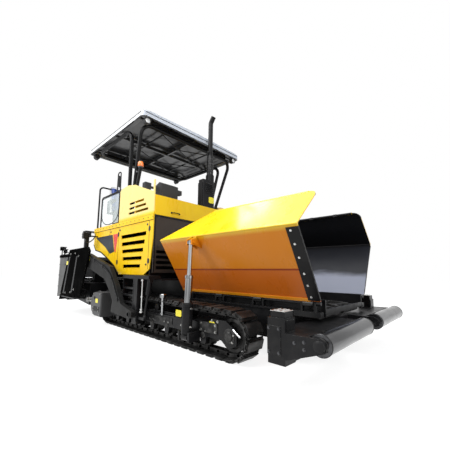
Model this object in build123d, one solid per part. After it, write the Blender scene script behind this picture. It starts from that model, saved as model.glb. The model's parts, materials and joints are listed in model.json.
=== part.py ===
"""Tracked asphalt paver.

Frame, in millimetres: +X forward (towards the push rollers), +Y to the left, +Z up, ground at
z = 0.  Right-hand pieces lie at y < 0.  Each piece is one STEP file, parts/NODE.step.
"""
import math
import os

from build123d import *

# ---------------------------------------------------------------- driving dimensions
FIT = 0.05                    # radial clearance of a shaft in its hole
GAP = 6.0                     # clearance between pieces that move past each other
PIN_R = 20.0                  # hinge and clevis pins
PLATE = 20.0                  # structural plate
SHEET = 16.0                  # body panels
SIDES = (("right", -1), ("left", 1))

# chassis
FRAME_X0, FRAME_X1 = -1430.0, 2880.0
FRAME_Y = 740.0
FRAME_Z0 = 250.0
FLOOR_Z = 600.0               # top of the conveyor floor
TUNNEL_TOP = 900.0
DIVIDER_Y = 50.0              # half the wall between the two tunnels
TUNNEL_Y = 620.0              # outer wall of a tunnel
GUARD_H = 150.0               # chain guards above the floor
HOPPER_X = 810.0              # rear wall of the hopper
APRON_REACH, APRON_H = 335.0, 40.0
LUG_R, LUG_T, LUG_DROP = 25.0, 40.0, 60.0

# tracks
TRACK_CLEAR = 190.0           # chassis side to track
TRACK_WIDTH = 320.0
IDLER_X, IDLER_R = 2310.0, 300.0          # radius over the shoes
SPROCKET_X, SPROCKET_R = -970.0, 330.0
SHOE_COUNT = 50
SHOE_PLATE = 22.0             # steel plate under each pad
SHOE_PAD = 24.0               # rubber pad
PAD_WIDTH = 284.0
CHAIN_DEPTH = 50.0            # links inside the plates
CHAIN_WIDTH = 130.0
ROLLER_COUNT = 7
ROLLER_R, CARRIER_R = 80.0, 55.0
AXLE_R = 26.0
WHEEL_WIDTH = 120.0
TOOTH_COUNT, TOOTH_H = 13, 34.0
HUB_R = 130.0
SIDE_Z0, SIDE_Z1 = 235.0, 395.0           # track frame
SIDE_INSET = 30.0
COVER_H, COVER_LENGTH = 450.0, 510.0      # drive cover

# conveyors
SLAT_PITCH, SLAT_W, SLAT_H = 260.0, 60.0, 18.0
CHAIN_BAR_W = 30.0
DRUM_R = 36.0

# hopper wings
WING_LENGTH = 2350.0
WING_CLEAR = 60.0             # rear wall of the hopper to the wing
HINGE_RISE = 110.0            # hinge above the floor
CREASE_Y, CREASE_Z = 968.0, 1088.0
FOLD_Y, FOLD_Z = 1250.0, 1530.0
RIM_Y, RIM_Z = 740.0, 1980.0
RIM_BACK = 690.0              # the rim starts this far ahead of the wing's rear edge
CORNER_R = 110.0
WING_T = 14.0
SLEEVE_R, SLEEVE_LENGTH, HINGE_COUNT = 36.0, 120.0, 4

# hopper wing cylinders, two stages
CYL_X = 1680.0
CYL_CLEAR = 100.0             # track to the cylinder's middle
CYL_FOOT_Z = 210.0
CYL_EYE_Y, CYL_EYE_Z = 1310.0, 1440.0
CYL_R, STAGE_R, ROD_R = 72.0, 50.0, 30.0
BARREL_LENGTH, BARREL_FLOOR = 430.0, 90.0
STAGE_TOP, STAGE_LENGTH = 790.0, 415.0
ROD_LENGTH = 557.0
EYE_R, EYE_WIDTH, EAR_T = 36.0, 70.0, 24.0
EAR_DROP = 170.0              # length of the ears' foot down the lower panel
PIN_BOSS = 12.0               # pin end outside an ear

# push beam and rollers
BEAM_GAP = 130.0              # chassis to the beam
BEAM_DEPTH = 160.0
BEAM_Z0, BEAM_Z1 = 230.0, 505.0
BEAM_Y = 1440.0
BLOCK_W, BLOCK_Z = 190.0, 630.0
ROLLER_REACH, ROLLER_Z, PUSH_R = 310.0, 450.0, 95.0
PUSH_Y0, PUSH_Y1 = 210.0, 1400.0
PUSH_AXLE_R = 30.0
ARM_PLATE = 34.0
BEAM_PIVOT_R = 60.0
STEP_H = 60.0

# side bodies, hood and deck
BODY_Y = 1200.0
BODY_X0, BODY_X1 = -2000.0, 540.0
BODY_Z0, SHELF_Z = 980.0, 2020.0
FLANGE = 120.0
HOOD_Z = 2370.0
# side skin: (share of its length from the rear, share of its height from foot to shelf)
ARCH = ((0.0, 0.635), (0.051, 0.5), (0.173, 0.442), (0.299, 0.317), (0.441, 0.154), (0.528, 0.0))
PROW = ((0.902, 0.0), (0.972, 0.096), (1.0, 0.596))
# its top line: (share of its length from the rear, height above the hood)
DOME = ((0.843, 200.0), (0.728, 320.0), (0.614, 370.0), (0.512, 350.0), (0.484, 310.0))
POST_STRIP, POST_RISE, SHOULDER = 40.0, 270.0, 64.0
HOOD_T = 14.0
LID_X = -120.0                # hinge end of the two hood lids
LID_Y = 312.0
LID_HINGE_R = 20.0
BAND_H, BAND_T = 90.0, 12.0   # folded band along the shelf
LOUVRE_COUNT, LOUVRE_PITCH, LOUVRE_H = 5, 145.0, 80.0
LOUVRE_TOP, LOUVRE_DEPTH = 275.0, 70.0
SLOT_COUNT, SLOT_PITCH, SLOT_H = 3, 95.0, 44.0
DECK_T = 40.0
SIDE_BOX = 100.0              # control box outside the deck
LADDER_Y0, LADDER_Y1, RUNG_PITCH = 150.0, 570.0, 230.0
ENGINE_X0, ENGINE_X1, ENGINE_Y = -600.0, 300.0, 340.0
ENGINE_Z0, ENGINE_Z1 = 1000.0, 1750.0
CONSOLE_X, CONSOLE_H = -180.0, 910.0
CONSOLE_Y0, CONSOLE_Y1 = -600.0, -170.0
SEAT_X, SEAT_Y, SEAT_H = -1450.0, 800.0, 370.0
SEAT_W, SEAT_D, CUSHION_T = 470.0, 460.0, 110.0
BACK_H, BACK_T, BACK_LEAN = 620.0, 100.0, 10.0

# canopy and exhaust
ROOF_X0, ROOF_X1, ROOF_Y = -2240.0, 275.0, 1353.0
ROOF_Z, ROOF_FASCIA, ROOF_RISE = 3890.0, 95.0, 60.0
ROOF_T = 24.0
ROOF_SHOULDER = 160.0
HOOP_R, HOOP_BEND = 38.0, 200.0
HOOP_FOOT_Y, HOOP_TOP_Y = 1065.0, 1250.0
HOOP_FOOT_X, HOOP_TOP_X = -540.0, 70.0
RAIL_FOOT_X, RAIL_TOP_X, RAIL_REAR_X = -650.0, -290.0, -1900.0
RAIL_R, RAIL_Z = 16.0, 3060.0
PANE_X0, PANE_X1, PANE_Z0, PANE_Z1, PANE_T = -1675.0, -835.0, 2050.0, 2685.0, 6.0
LAMP_R, LAMP_DROP, LAMP_BACK = 62.0, 40.0, 34.0
BEACON_X, BEACON_Z = -80.0, 3020.0
STACK_X, STACK_Y, STACK_R = 430.0, 215.0, 52.0
STACK_Z, STACK_TOP = 2970.0, 4330.0
STACK_BOX, STACK_BOX_D = 335.0, 160.0     # housing across and along the hood
SHIELD_R, SHIELD_H = 75.0, 150.0
TIP_REACH, TIP_RISE = 90.0, 120.0

# tow posts and arms
TOW_X, TOW_Z = 400.0, 360.0
TOW_PIN_R = 45.0
POST_CLEAR, POST_W, POST_D = 40.0, 110.0, 140.0
ARM_CLEAR, ARM_T = 20.0, 80.0
LEVEL_R = 38.0                # levelling cylinder
STEP_LENGTH = 380.0
STEP_SHARES = (0.82, 0.7, 0.58)           # steps behind the post, as shares of the body's foot
# arm: (x, z) points along its upper line from the tow point, then back along its lower line
ARM_TOP = ((110.0, 500.0), (-100.0, 790.0), (-390.0, 1120.0), (-1490.0, 1410.0))
ARM_END, ARM_TIP = 1410.0, 1130.0         # heights of the rear end
ARM_LOW = ((-1480.0, 1130.0), (-1310.0, 1080.0), (-580.0, 890.0), (-350.0, 700.0),
           (-200.0, 520.0), (-240.0, 330.0))

# augers
AUGER_CLEAR = 70.0            # chassis to the flights
AUGER_Z, AUGER_R = 420.0, 180.0
AUGER_Y0, AUGER_Y1 = 130.0, 1390.0
FLIGHT_PITCH, FLIGHT_T = 300.0, 14.0
SHAFT_R = 45.0
DRIVE_BOX = 110.0

# screed: the soles lie in one plane, level on the mat when the arms are down
SCREED_DROP = 5.4             # degrees from raised to lowered
MAT_Z = 60.0
SCREED_CLEAR = 40.0           # flights to the screed
SCREED_DEPTH, SCREED_Y = 700.0, 1250.0
SCREED_TOP = 760.0
SOLE_T = 60.0                 # sole plate and the bars that stiffen it
BEAM_X, CROSS_W = -2275.0, 150.0
CROSS_Z0, CROSS_Z1 = 1150.0, 1300.0
EXT_CLEAR, EXT_DEPTH = 40.0, 510.0
EXT_Y0, EXT_Y1, EXT_TOP = 60.0, 1480.0, 800.0
SIDE_T = 40.0
TRAY_DEPTH, TRAY_Z = 340.0, 430.0
GUIDE_R, GUIDE_Z = 32.0, 850.0
CARRIAGE_W = 130.0
END_CLEAR, END_T = 28.0, 42.0
WALK_CLEAR, WALK_T, WALK_H = 15.0, 70.0, 1000.0
WALK_Z, KNUCKLE_R, KNUCKLE_PIN_R = 440.0, 26.0, 12.0
LUG_END_R = 16.0              # rounded end of a walkway lug

# screed lift cylinders
LIFT_X, LIFT_TOP, LIFT_EYE, LIFT_Y = -2110.0, 1880.0, 1330.0, 1330.0
LIFT_R, LIFT_ROD_R, LIFT_LENGTH = 55.0, 30.0, 400.0
LIFT_EYE_R = 40.0
CHEEK_T = 24.0

# ---------------------------------------------------------------- places that follow from them
TRACK_Y0 = FRAME_Y + TRACK_CLEAR
TRACK_Y1 = TRACK_Y0 + TRACK_WIDTH
TRACK_Y = (TRACK_Y0 + TRACK_Y1) / 2
SIDE_Y0, SIDE_Y1 = TRACK_Y0 + SIDE_INSET, TRACK_Y1 - SIDE_INSET
CHAIN_IN = SHOE_PAD + SHOE_PLATE + CHAIN_DEPTH      # shoes' tips to the inside of the chain
HINGE_Y, HINGE_Z = FRAME_Y, FLOOR_Z + HINGE_RISE
WING_X0 = HOPPER_X + WING_CLEAR
WING_X1 = WING_X0 + WING_LENGTH
RIM_X = WING_X0 + RIM_BACK
CYL_FOOT_Y = TRACK_Y1 + CYL_CLEAR
BEAM_X0 = FRAME_X1 + BEAM_GAP
BEAM_X1 = BEAM_X0 + BEAM_DEPTH
PIVOT_X = BEAM_X0 + BEAM_PIVOT_R
ROLLER_X = BEAM_X1 + ROLLER_REACH
BODY_IN = BODY_Y - SHEET
HOOD_X = BODY_X1 + 10
DECK_X1 = LID_X - 42
POST_X0, POST_X1 = TOW_X - POST_D / 2, TOW_X + POST_D / 2
POST_Y0 = TRACK_Y1 + POST_CLEAR
POST_Y1 = POST_Y0 + POST_W
ARM_Y0 = POST_Y1 + ARM_CLEAR
ARM_Y1 = ARM_Y0 + ARM_T
AUGER_X = FRAME_X0 - AUGER_CLEAR - AUGER_R
SCREED_X1 = AUGER_X - AUGER_R - SCREED_CLEAR
SCREED_X0 = SCREED_X1 - SCREED_DEPTH
EXT_X1 = SCREED_X0 - EXT_CLEAR
EXT_X0 = EXT_X1 - EXT_DEPTH
TRAY_X = EXT_X0 - TRAY_DEPTH
WALK_X = TRAY_X - WALK_CLEAR - 15
WALK_X1 = TRAY_X - WALK_CLEAR
GUIDE_XS = (SCREED_X0 + 60, SCREED_X0 + 160)
END_Y0 = EXT_Y1 + END_CLEAR
END_Y1 = END_Y0 + END_T


# ---------------------------------------------------------------- helpers
def block(x0, x1, y0, y1, z0, z1):
    """Box between two corners."""
    size = (abs(x1 - x0), abs(y1 - y0), abs(z1 - z0))
    return Pos((x0 + x1) / 2, (y0 + y1) / 2, (z0 + z1) / 2) * Box(*size)


def prism_y(points, y0, y1):
    """Polygon of (x, z) points, extruded from y0 to y1."""
    face = Face(Wire.make_polygon([Vector(x, y0, z) for x, z in points]))
    return extrude(face, amount=y1 - y0, dir=(0, 1, 0))


def prism_x(points, x0, x1):
    """Polygon of (y, z) points, extruded from x0 to x1."""
    face = Face(Wire.make_polygon([Vector(x0, y, z) for y, z in points]))
    return extrude(face, amount=x1 - x0, dir=(1, 0, 0))


def ribbon(points, t):
    """Closed outline of a folded strip: the points, and the same line t to its left."""
    sides = []
    for a, b in zip(points, points[1:]):
        length = math.hypot(b[0] - a[0], b[1] - a[1])
        sides.append(((a[1] - b[1]) / length, (b[0] - a[0]) / length))
    far = []
    for i, (u, v) in enumerate(points):
        before, after = sides[max(i - 1, 0)], sides[min(i, len(sides) - 1)]
        nu, nv = before[0] + after[0], before[1] + after[1]
        scale = 2 * t / (nu * nu + nv * nv)
        far.append((u + nu * scale, v + nv * scale))
    return list(points) + far[::-1]


def rod(start, end, radius):
    """Round bar between two points."""
    start, end = Vector(*start), Vector(*end)
    axis = end - start
    plane = Plane(origin=start, z_dir=axis)
    return extrude(plane * Circle(radius), amount=axis.length)


def bar_x(y, z, x0, x1, radius):
    """Round bar along X."""
    return rod((x0, y, z), (x1, y, z), radius)


def bar_y(x, z, y0, y1, radius):
    """Round bar along Y."""
    return rod((x, y0, z), (x, y1, z), radius)


def bar_z(x, y, z0, z1, radius):
    """Round bar along Z."""
    return rod((x, y, z0), (x, y, z1), radius)


def tube_path(points, radius, bends):
    """Round bar along straight runs joined by arcs."""
    path = FilletPolyline(*points, radius=bends)
    section = Plane(origin=path @ 0, z_dir=path % 0) * Circle(radius)
    return sweep(section, path=path)


def rounded_y(shape, radius):
    """The shape with its corners along Y rounded."""
    return fillet(shape.edges().filter_by(Axis.Y), radius)


def flip(shape, side):
    """A shape drawn for the left, put on the side given (-1 right, 1 left)."""
    return shape if side > 0 else mirror(shape, about=Plane.XZ)


def both(*shapes):
    """Shapes drawn for the left, on both sides, as one piece of separate solids."""
    return Compound(children=[flip(shape, side) for shape in shapes for _, side in SIDES])


NODES = {}


def node(name, shape):
    """Keep a finished piece under its name."""
    NODES[name] = shape


def pair(name, shape):
    """Keep a shape drawn for the left as a right and a left piece."""
    for side_name, side in SIDES:
        node(f"{name}_{side_name}", flip(shape, side))


# ---------------------------------------------------------------- tracks
def belt(offset):
    """Closed belt round idler and sprocket, that far inside the shoes' tips.

    Returns its length, a function from distance along it to (x, z, nx, nz), and the ends of its
    first three stretches: bottom run, front arc, top run; the rear arc closes it.
    """
    front = (IDLER_X, IDLER_R, IDLER_R - offset)
    rear = (SPROCKET_X, SPROCKET_R, SPROCKET_R - offset)
    dist = math.hypot(front[0] - rear[0], front[1] - rear[1])
    slope = math.atan2(front[1] - rear[1], front[0] - rear[0])
    lean = math.asin((rear[2] - front[2]) / dist)
    line = dist * math.cos(lean)
    top = slope + math.pi / 2 - lean
    low = slope - math.pi / 2 + lean
    front_arc = (top - low) * front[2]
    rear_arc = (2 * math.pi - (top - low)) * rear[2]
    length = 2 * line + front_arc + rear_arc

    def on(wheel, angle):
        return wheel[0] + wheel[2] * math.cos(angle), wheel[1] + wheel[2] * math.sin(angle)

    def straight(start, end, angle, share):
        (ax, az), (bx, bz) = on(start, angle), on(end, angle)
        return ax + (bx - ax) * share, az + (bz - az) * share, math.cos(angle), math.sin(angle)

    def at(s):
        s %= length
        if s < line:
            return straight(rear, front, low, s / line)
        s -= line
        if s < front_arc:
            angle = low + s / front[2]
            return *on(front, angle), math.cos(angle), math.sin(angle)
        s -= front_arc
        if s < line:
            return straight(front, rear, top, s / line)
        angle = top + (s - line) / rear[2]
        return *on(rear, angle), math.cos(angle), math.sin(angle)

    return length, at, (line, line + front_arc, 2 * line + front_arc)


def toothed_band(depth, height, root, tip):
    """Closed outline of one raised block per shoe on a belt.

    root and tip are each block's shares of the pitch at its foot and at its top.
    """
    length, at, _ = belt(depth)
    pitch = length / SHOE_COUNT
    points = []
    for i in range(SHOE_COUNT):
        middle = (i + 0.5) * pitch
        # (share of the pitch from the middle, height above the belt)
        for share, rise in ((-root / 2, 0), (-tip / 2, height), (tip / 2, height), (root / 2, 0)):
            x, z, nx, nz = at(middle + share * pitch)
            points.append((x + nx * rise, z + nz * rise))
    return points


def smooth_band(depth, steps=14):
    """Closed outline of a plain belt, with that many facets round each end."""
    length, at, (run, turn, back) = belt(depth)
    front = [run + (turn - run) * i / steps for i in range(steps + 1)]
    rear = [back + (length - back) * i / steps for i in range(steps + 1)]
    return [at(s * 0.999999)[:2] for s in front + rear]


def make_tracks():
    """Each track is one loop: rubber pads on steel plates on a chain."""
    plate_in = SHOE_PAD + SHOE_PLATE
    lip = 6.0
    bore = prism_y(smooth_band(plate_in), TRACK_Y0 - 1, TRACK_Y1 + 1)
    chain_bore = prism_y(smooth_band(CHAIN_IN), TRACK_Y0 - 1, TRACK_Y1 + 1)
    pads = prism_y(toothed_band(SHOE_PAD + 2, SHOE_PAD + 2, 0.78, 0.66),
                   TRACK_Y - PAD_WIDTH / 2, TRACK_Y + PAD_WIDTH / 2)
    plates = prism_y(toothed_band(plate_in - lip, SHOE_PLATE - lip, 0.96, 0.94), TRACK_Y0, TRACK_Y1)
    chain = prism_y(smooth_band(plate_in - 4), TRACK_Y - CHAIN_WIDTH / 2, TRACK_Y + CHAIN_WIDTH / 2)
    pair("track", (pads - bore) + (plates - bore) + (chain - chain_bore))


def roller_places():
    """The lower rollers' x places, evenly between sprocket and idler."""
    first, last = SPROCKET_X + SPROCKET_R + 100, IDLER_X - IDLER_R - 150
    return [first + (last - first) * i / (ROLLER_COUNT - 1) for i in range(ROLLER_COUNT)]


def make_idler():
    """Rimmed idler on its hub."""
    radius = IDLER_R - CHAIN_IN - 10
    half = WHEEL_WIDTH / 2
    idler = bar_y(IDLER_X, IDLER_R, TRACK_Y - half, TRACK_Y + half, radius)
    for y in (TRACK_Y - half - 1, TRACK_Y + half - 24):
        idler -= bar_y(IDLER_X, IDLER_R, y, y + 25, radius - 40)
    return idler + bar_y(IDLER_X, IDLER_R, SIDE_Y0 + CHEEK_T, SIDE_Y1 - CHEEK_T, 2 * AXLE_R)


def make_sprocket():
    """Toothed sprocket on the final drive's hub, which is flanged to the chassis."""
    radius = SPROCKET_R - CHAIN_IN - 10
    outline = []
    for i in range(TOOTH_COUNT):
        # (share of the tooth pitch, depth under the tips)
        for share, depth in ((0.0, 0.0), (0.28, 0.0), (0.5, TOOTH_H), (0.78, TOOTH_H)):
            angle = 2 * math.pi * (i + share) / TOOTH_COUNT
            outline.append((SPROCKET_X + (radius - depth) * math.cos(angle),
                            SPROCKET_R + (radius - depth) * math.sin(angle)))
    sprocket = prism_y(outline, TRACK_Y - WHEEL_WIDTH / 4, TRACK_Y + WHEEL_WIDTH / 4)
    return sprocket + bar_y(SPROCKET_X, SPROCKET_R, FRAME_Y, SIDE_Y1, HUB_R)


def make_track_wheels():
    half = WHEEL_WIDTH / 2
    slot = half + 10
    low_z = CHAIN_IN + 1 + ROLLER_R
    wheels = [make_idler(), make_sprocket()]
    for x in roller_places():
        wheels.append(bar_y(x, low_z, TRACK_Y - half, TRACK_Y + half, ROLLER_R)
                      + bar_y(x, low_z, TRACK_Y - slot, TRACK_Y + slot, AXLE_R))
    for share in (0.25, 0.5, 0.75):
        x = SPROCKET_X + share * (IDLER_X - SPROCKET_X)
        top = 2 * (SPROCKET_R + share * (IDLER_R - SPROCKET_R))
        z = top - CHAIN_IN - CARRIER_R - 1
        carrier = bar_y(x, z, TRACK_Y - half, TRACK_Y + half, CARRIER_R)
        wheels.append(carrier + block(x - 20, x + 20, TRACK_Y - 20, TRACK_Y + 20, SIDE_Z1, z))
    node("track_wheels", both(*wheels))


def track_side():
    """The track frame: two side plates with roller pedestals, a fork and the drive arm."""
    half = WHEEL_WIDTH / 2
    slot = half + 10
    low_z = CHAIN_IN + 1 + ROLLER_R
    frame = block(SPROCKET_X + 240, IDLER_X - 260, SIDE_Y0, SIDE_Y1, SIDE_Z0, SIDE_Z1)
    frame -= block(SPROCKET_X + 200, IDLER_X - 200, TRACK_Y - slot, TRACK_Y + slot,
                   SIDE_Z0 - 5, low_z + ROLLER_R + 10)
    # (y from, y to) of the two side plates
    walls = ((SIDE_Y0, TRACK_Y - slot), (TRACK_Y + slot, SIDE_Y1))
    for x in roller_places():
        for y0, y1 in walls:
            foot = [(x - 60, SIDE_Z0), (x - 40, low_z - 45), (x + 40, low_z - 45), (x + 60, SIDE_Z0)]
            frame += prism_y(foot, y0, y1)
    x, z = IDLER_X, IDLER_R
    fork = [(x - 310, z - 70), (x - 310, z + 165), (x - 60, z + 165), (x + 110, z + 60),
            (x + 110, z - 90), (x - 10, z - 155), (x - 130, z - 70)]
    for y in (SIDE_Y0, SIDE_Y1 - CHEEK_T):
        frame += prism_y(fork, y, y + CHEEK_T)
        frame += block(SPROCKET_X + HUB_R + 10, SPROCKET_X + 300, y, y + CHEEK_T,
                       SIDE_Z0 + 5, SIDE_Z1 + 25)
    return frame


def drive_cover():
    """Rounded cover outboard of the sprocket, on a bracket from the track frame."""
    y0, y1 = TRACK_Y1 + 20, ARM_Y1
    front = SPROCKET_X + 300
    rear = front - COVER_LENGTH
    low, top = SPROCKET_R - COVER_H / 3, SPROCKET_R + COVER_H * 2 / 3
    cover = prism_y([(front, low), (front, top), (rear + 200, top), (rear + 70, top - 70),
                     (rear, (low + top) / 2), (rear + 70, low + 70), (rear + 200, low)], y0, y1)
    cover = fillet(cover.faces().sort_by(Axis.Y)[-1].edges(), 24)
    return cover + block(front - 90, front - 30, SIDE_Y1, y0 + 1, SIDE_Z0 + 15, SIDE_Z1 - 15)


def make_track_frames():
    frame = track_side()
    # beams that carry the track frame on the chassis
    for x in (SPROCKET_X + 420, IDLER_X - 810):
        frame += block(x, x + 260, FRAME_Y, TRACK_Y - WHEEL_WIDTH / 2 - 30, SIDE_Z0 + 25, SIDE_Z1 - 5)
    # foot bracket of the wing cylinder, reaching out between the track's runs
    inner = WHEEL_WIDTH / 2 + GAP * 2
    for s in (-1, 1):
        x0, x1 = CYL_X + s * (inner + 8), CYL_X + s * (inner + 43)
        frame += block(x0, x1, SIDE_Y1 - 10, CYL_FOOT_Y + 50, CYL_FOOT_Z - 50, CYL_FOOT_Z + 70)
    frame += bar_x(CYL_FOOT_Y, CYL_FOOT_Z, CYL_X - inner - 30, CYL_X + inner + 30, PIN_R)
    # outrigger of the tow post
    frame += block(POST_X0, POST_X1, SIDE_Y1 - 10, POST_Y0, SIDE_Z0 + 5, SIDE_Z1 - 5)
    node("track_frames", both(frame + drive_cover()))


# ---------------------------------------------------------------- chassis and conveyors
def lower_frame():
    """Belly plate, divider, tunnel walls and side rails."""
    y = FRAME_Y
    frame = block(FRAME_X0, FRAME_X1, -y, y, FRAME_Z0, FRAME_Z0 + PLATE)
    frame += block(FRAME_X0, FRAME_X1, -DIVIDER_Y, DIVIDER_Y, FRAME_Z0, FLOOR_Z)
    frame += block(FRAME_X0, HOPPER_X, -DIVIDER_Y, DIVIDER_Y, FLOOR_Z, TUNNEL_TOP)
    frame += block(FRAME_X1 - PLATE, FRAME_X1, -y, y, FRAME_Z0, FLOOR_Z - 2 * PLATE)
    for s in (-1, 1):
        inner, outer = s * TUNNEL_Y, s * (TUNNEL_Y + PLATE)
        frame += block(FRAME_X0, FRAME_X1, inner, outer, FRAME_Z0, FLOOR_Z + GUARD_H)
        frame += block(FRAME_X0, HOPPER_X, inner, outer, FRAME_Z0, TUNNEL_TOP)
        frame += block(FRAME_X0, FRAME_X1, s * (y - PLATE), s * y, FRAME_Z0, FLOOR_Z)
        frame += block(FRAME_X0, FRAME_X1, inner, s * y, FLOOR_Z - PLATE, FLOOR_Z)
    return frame


def upper_frame():
    """Engine floor, bulkheads and the rear wall of the hopper with its slanted chutes."""
    frame = block(FRAME_X0, HOPPER_X, -BODY_IN, BODY_IN, TUNNEL_TOP, TUNNEL_TOP + PLATE)
    # (x of the bulkhead, half its width)
    for x, half in ((FRAME_X0, BODY_Y - FLANGE), (BODY_X1 - 100, BODY_IN)):
        frame += block(x, x + PLATE, -half, half, TUNNEL_TOP, SHELF_Z - DECK_T)
    # (y, z) down the right edge of the hopper's rear wall
    edge = [(-1000, FOLD_Z - 50), (-1000, 1250), (-FRAME_Y + 100, TUNNEL_TOP),
            (-FRAME_Y + 100, FLOOR_Z + GUARD_H)]
    wall = prism_x(edge + [(-y, z) for y, z in edge[::-1]], HOPPER_X, HOPPER_X + PLATE)
    for s in (-1, 1):
        wall -= block(HOPPER_X - 1, HOPPER_X + PLATE + 1, s * DIVIDER_Y, s * TUNNEL_Y,
                      FLOOR_Z, TUNNEL_TOP)
        wall += block(BODY_X1 - 90, HOPPER_X + 5, s * (TUNNEL_Y - 60), s * (TUNNEL_Y - 20),
                      TUNNEL_TOP, TUNNEL_TOP + 110)
    return frame + wall


def frame_fittings():
    """Push beam pivot, apron at the hopper's mouth, tie-down lugs and the auger drive."""
    fit = block(FRAME_X1 - 5, PIVOT_X + BEAM_PIVOT_R, -90, 90, FRAME_Z0, FRAME_Z0 + 30)
    fit += rod((PIVOT_X, 0, FRAME_Z0 + 25), (PIVOT_X, 0, BEAM_Z1 - PLATE - 25), BEAM_PIVOT_R)
    apron_x = FRAME_X1 + APRON_REACH
    width = TUNNEL_Y + PLATE
    fit += block(apron_x - PLATE, apron_x, -width, width, FLOOR_Z - PLATE, FLOOR_Z + APRON_H)
    for s in (-1, 1):
        fit += block(FRAME_X1 - 5, apron_x, s * TUNNEL_Y, s * width,
                     FLOOR_Z - 2 * PLATE, FLOOR_Z + GUARD_H)
    for x in (FRAME_X0 + 70, FRAME_X1 - 70):
        for s in (-1, 1):
            y0, y1 = s * (TUNNEL_Y + PLATE), s * (TUNNEL_Y + PLATE + LUG_T)
            lug = block(x - 60, x + 60, y0, y1, FRAME_Z0 - LUG_DROP - 50, FRAME_Z0)
            lug = fillet(lug.edges().filter_by(Axis.Y).group_by(Axis.Z)[0], 30)
            fit += lug - bar_y(x, FRAME_Z0 - LUG_DROP, y0 - s, y1 + s, LUG_R)
    fit += block(AUGER_X - DRIVE_BOX, AUGER_X + DRIVE_BOX, -DRIVE_BOX, DRIVE_BOX,
                 AUGER_Z - DRIVE_BOX, FLOOR_Z + 180)
    fit += block(AUGER_X + DRIVE_BOX - 10, FRAME_X0, -60, 60, FLOOR_Z + 40, FLOOR_Z + 180)
    return fit


def make_chassis():
    node("chassis", lower_frame() + upper_frame() + frame_fittings())


def make_conveyors():
    """Two slatted floors with their chain strips and front drums."""
    x0, x1 = FRAME_X0 - 40, FRAME_X1 + APRON_REACH - 55
    under = FLOOR_Z - 4
    floor = block(x0, x1, DIVIDER_Y, TUNNEL_Y, under - PLATE, under)
    for i in range(int((x1 - 60 - FRAME_X0) / SLAT_PITCH) + 1):
        x = FRAME_X0 + i * SLAT_PITCH
        floor += block(x, x + SLAT_W, DIVIDER_Y + 30, TUNNEL_Y - 30, under, under + SLAT_H + 8)
    for y in (DIVIDER_Y + 50, TUNNEL_Y - 50 - CHAIN_BAR_W):
        floor += block(FRAME_X0, x1 - 10, y, y + CHAIN_BAR_W, under, under + SLAT_H - 2)
    floor += bar_y(x1 - 30, FLOOR_Z - DRUM_R - 4, DIVIDER_Y + 20, TUNNEL_Y - 20, DRUM_R)
    node("conveyors", both(floor))


# ---------------------------------------------------------------- hopper
def hinge_places():
    """Middles of the wing's sleeves along the hinge pin."""
    span = WING_LENGTH - 300
    return [WING_X0 + 150 + span * i / (HINGE_COUNT - 1) for i in range(HINGE_COUNT)]


def wing_plate():
    """The wing's folded plate: hem at the hinge, crease, main fold and rim."""
    low = math.atan2(CREASE_Z - HINGE_Z, CREASE_Y - HINGE_Y)
    reach = 0.9 * SLEEVE_R
    start = (HINGE_Y + reach * math.cos(low), HINGE_Z + reach * math.sin(low))
    line = [start, (CREASE_Y, CREASE_Z), (FOLD_Y, FOLD_Z), (RIM_Y, RIM_Z)]
    plate = prism_x(ribbon(line, -WING_T), WING_X0, WING_X1)
    # rear edge of the upper panel, slanting forward from the fold to the rim
    slant = [(WING_X0 - 1, FOLD_Z + WING_T), (WING_X0, FOLD_Z + WING_T), (RIM_X, RIM_Z + WING_T),
             (RIM_X, RIM_Z + 90), (WING_X0 - 1, RIM_Z + 90)]
    plate -= prism_y(slant, RIM_Y - 100, FOLD_Y + 100)
    front_top = [edge for edge in plate.edges()
                 if edge.length < 3 * WING_T and edge.center().X > WING_X1 - 1
                 and edge.center().Z > RIM_Z - 2 * WING_T]
    return fillet(front_top, CORNER_R), start


def make_wings():
    plate, start = wing_plate()
    wing = plate
    # rolled seam along the fold and tube along the rim
    wing += bar_x(FOLD_Y + 4, FOLD_Z, WING_X0, WING_X1, WING_T)
    wing += bar_x(RIM_Y + 4, RIM_Z, RIM_X, WING_X1 - CORNER_R, WING_T + 4)
    rear = [start, (CREASE_Y, CREASE_Z), (FOLD_Y, FOLD_Z), (FOLD_Y - 330, FOLD_Z),
            (HINGE_Y - 60, HINGE_Z + 330)]
    wing += prism_x(rear, WING_X0, WING_X0 + WING_T - 2)
    for x in hinge_places():
        wing += bar_x(HINGE_Y, HINGE_Z, x - SLEEVE_LENGTH / 2, x + SLEEVE_LENGTH / 2, SLEEVE_R)
    wing -= bar_x(HINGE_Y, HINGE_Z, WING_X0 - 1, WING_X1 + 1, PIN_R + FIT)
    wing += cylinder_ears()
    pair("hopper_wing", wing)


def cylinder_ears():
    """Two ears under the fold that hold the cylinder's eye, with a pin boss outside each."""
    y, z = CYL_EYE_Y, CYL_EYE_Z
    slope = math.atan2(FOLD_Z - CREASE_Z, FOLD_Y - CREASE_Y)
    ny, nz = math.sin(slope), -math.cos(slope)
    foot_z = FOLD_Z - EAR_DROP
    foot_y = FOLD_Y - EAR_DROP / math.tan(slope)
    ear = [(y - 32, z - EYE_R), (y + EYE_R, z - EYE_R), (y + EYE_R, z + EYE_R),
           (FOLD_Y + 4 * ny, FOLD_Z - 4), (foot_y + 4 * ny, foot_z + 4 * nz)]
    ears = []
    for s in (-1, 1):
        inside, outside = (CYL_X + s * reach for reach in (EYE_WIDTH / 2 + 3, EYE_WIDTH / 2 + 3 + EAR_T))
        boss = bar_x(y, z, *sorted((outside - s, outside + s * PIN_BOSS)), PIN_R)
        ears.append(prism_x(ear, *sorted((inside, outside))) + boss)
    return ears[0] + ears[1]


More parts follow.
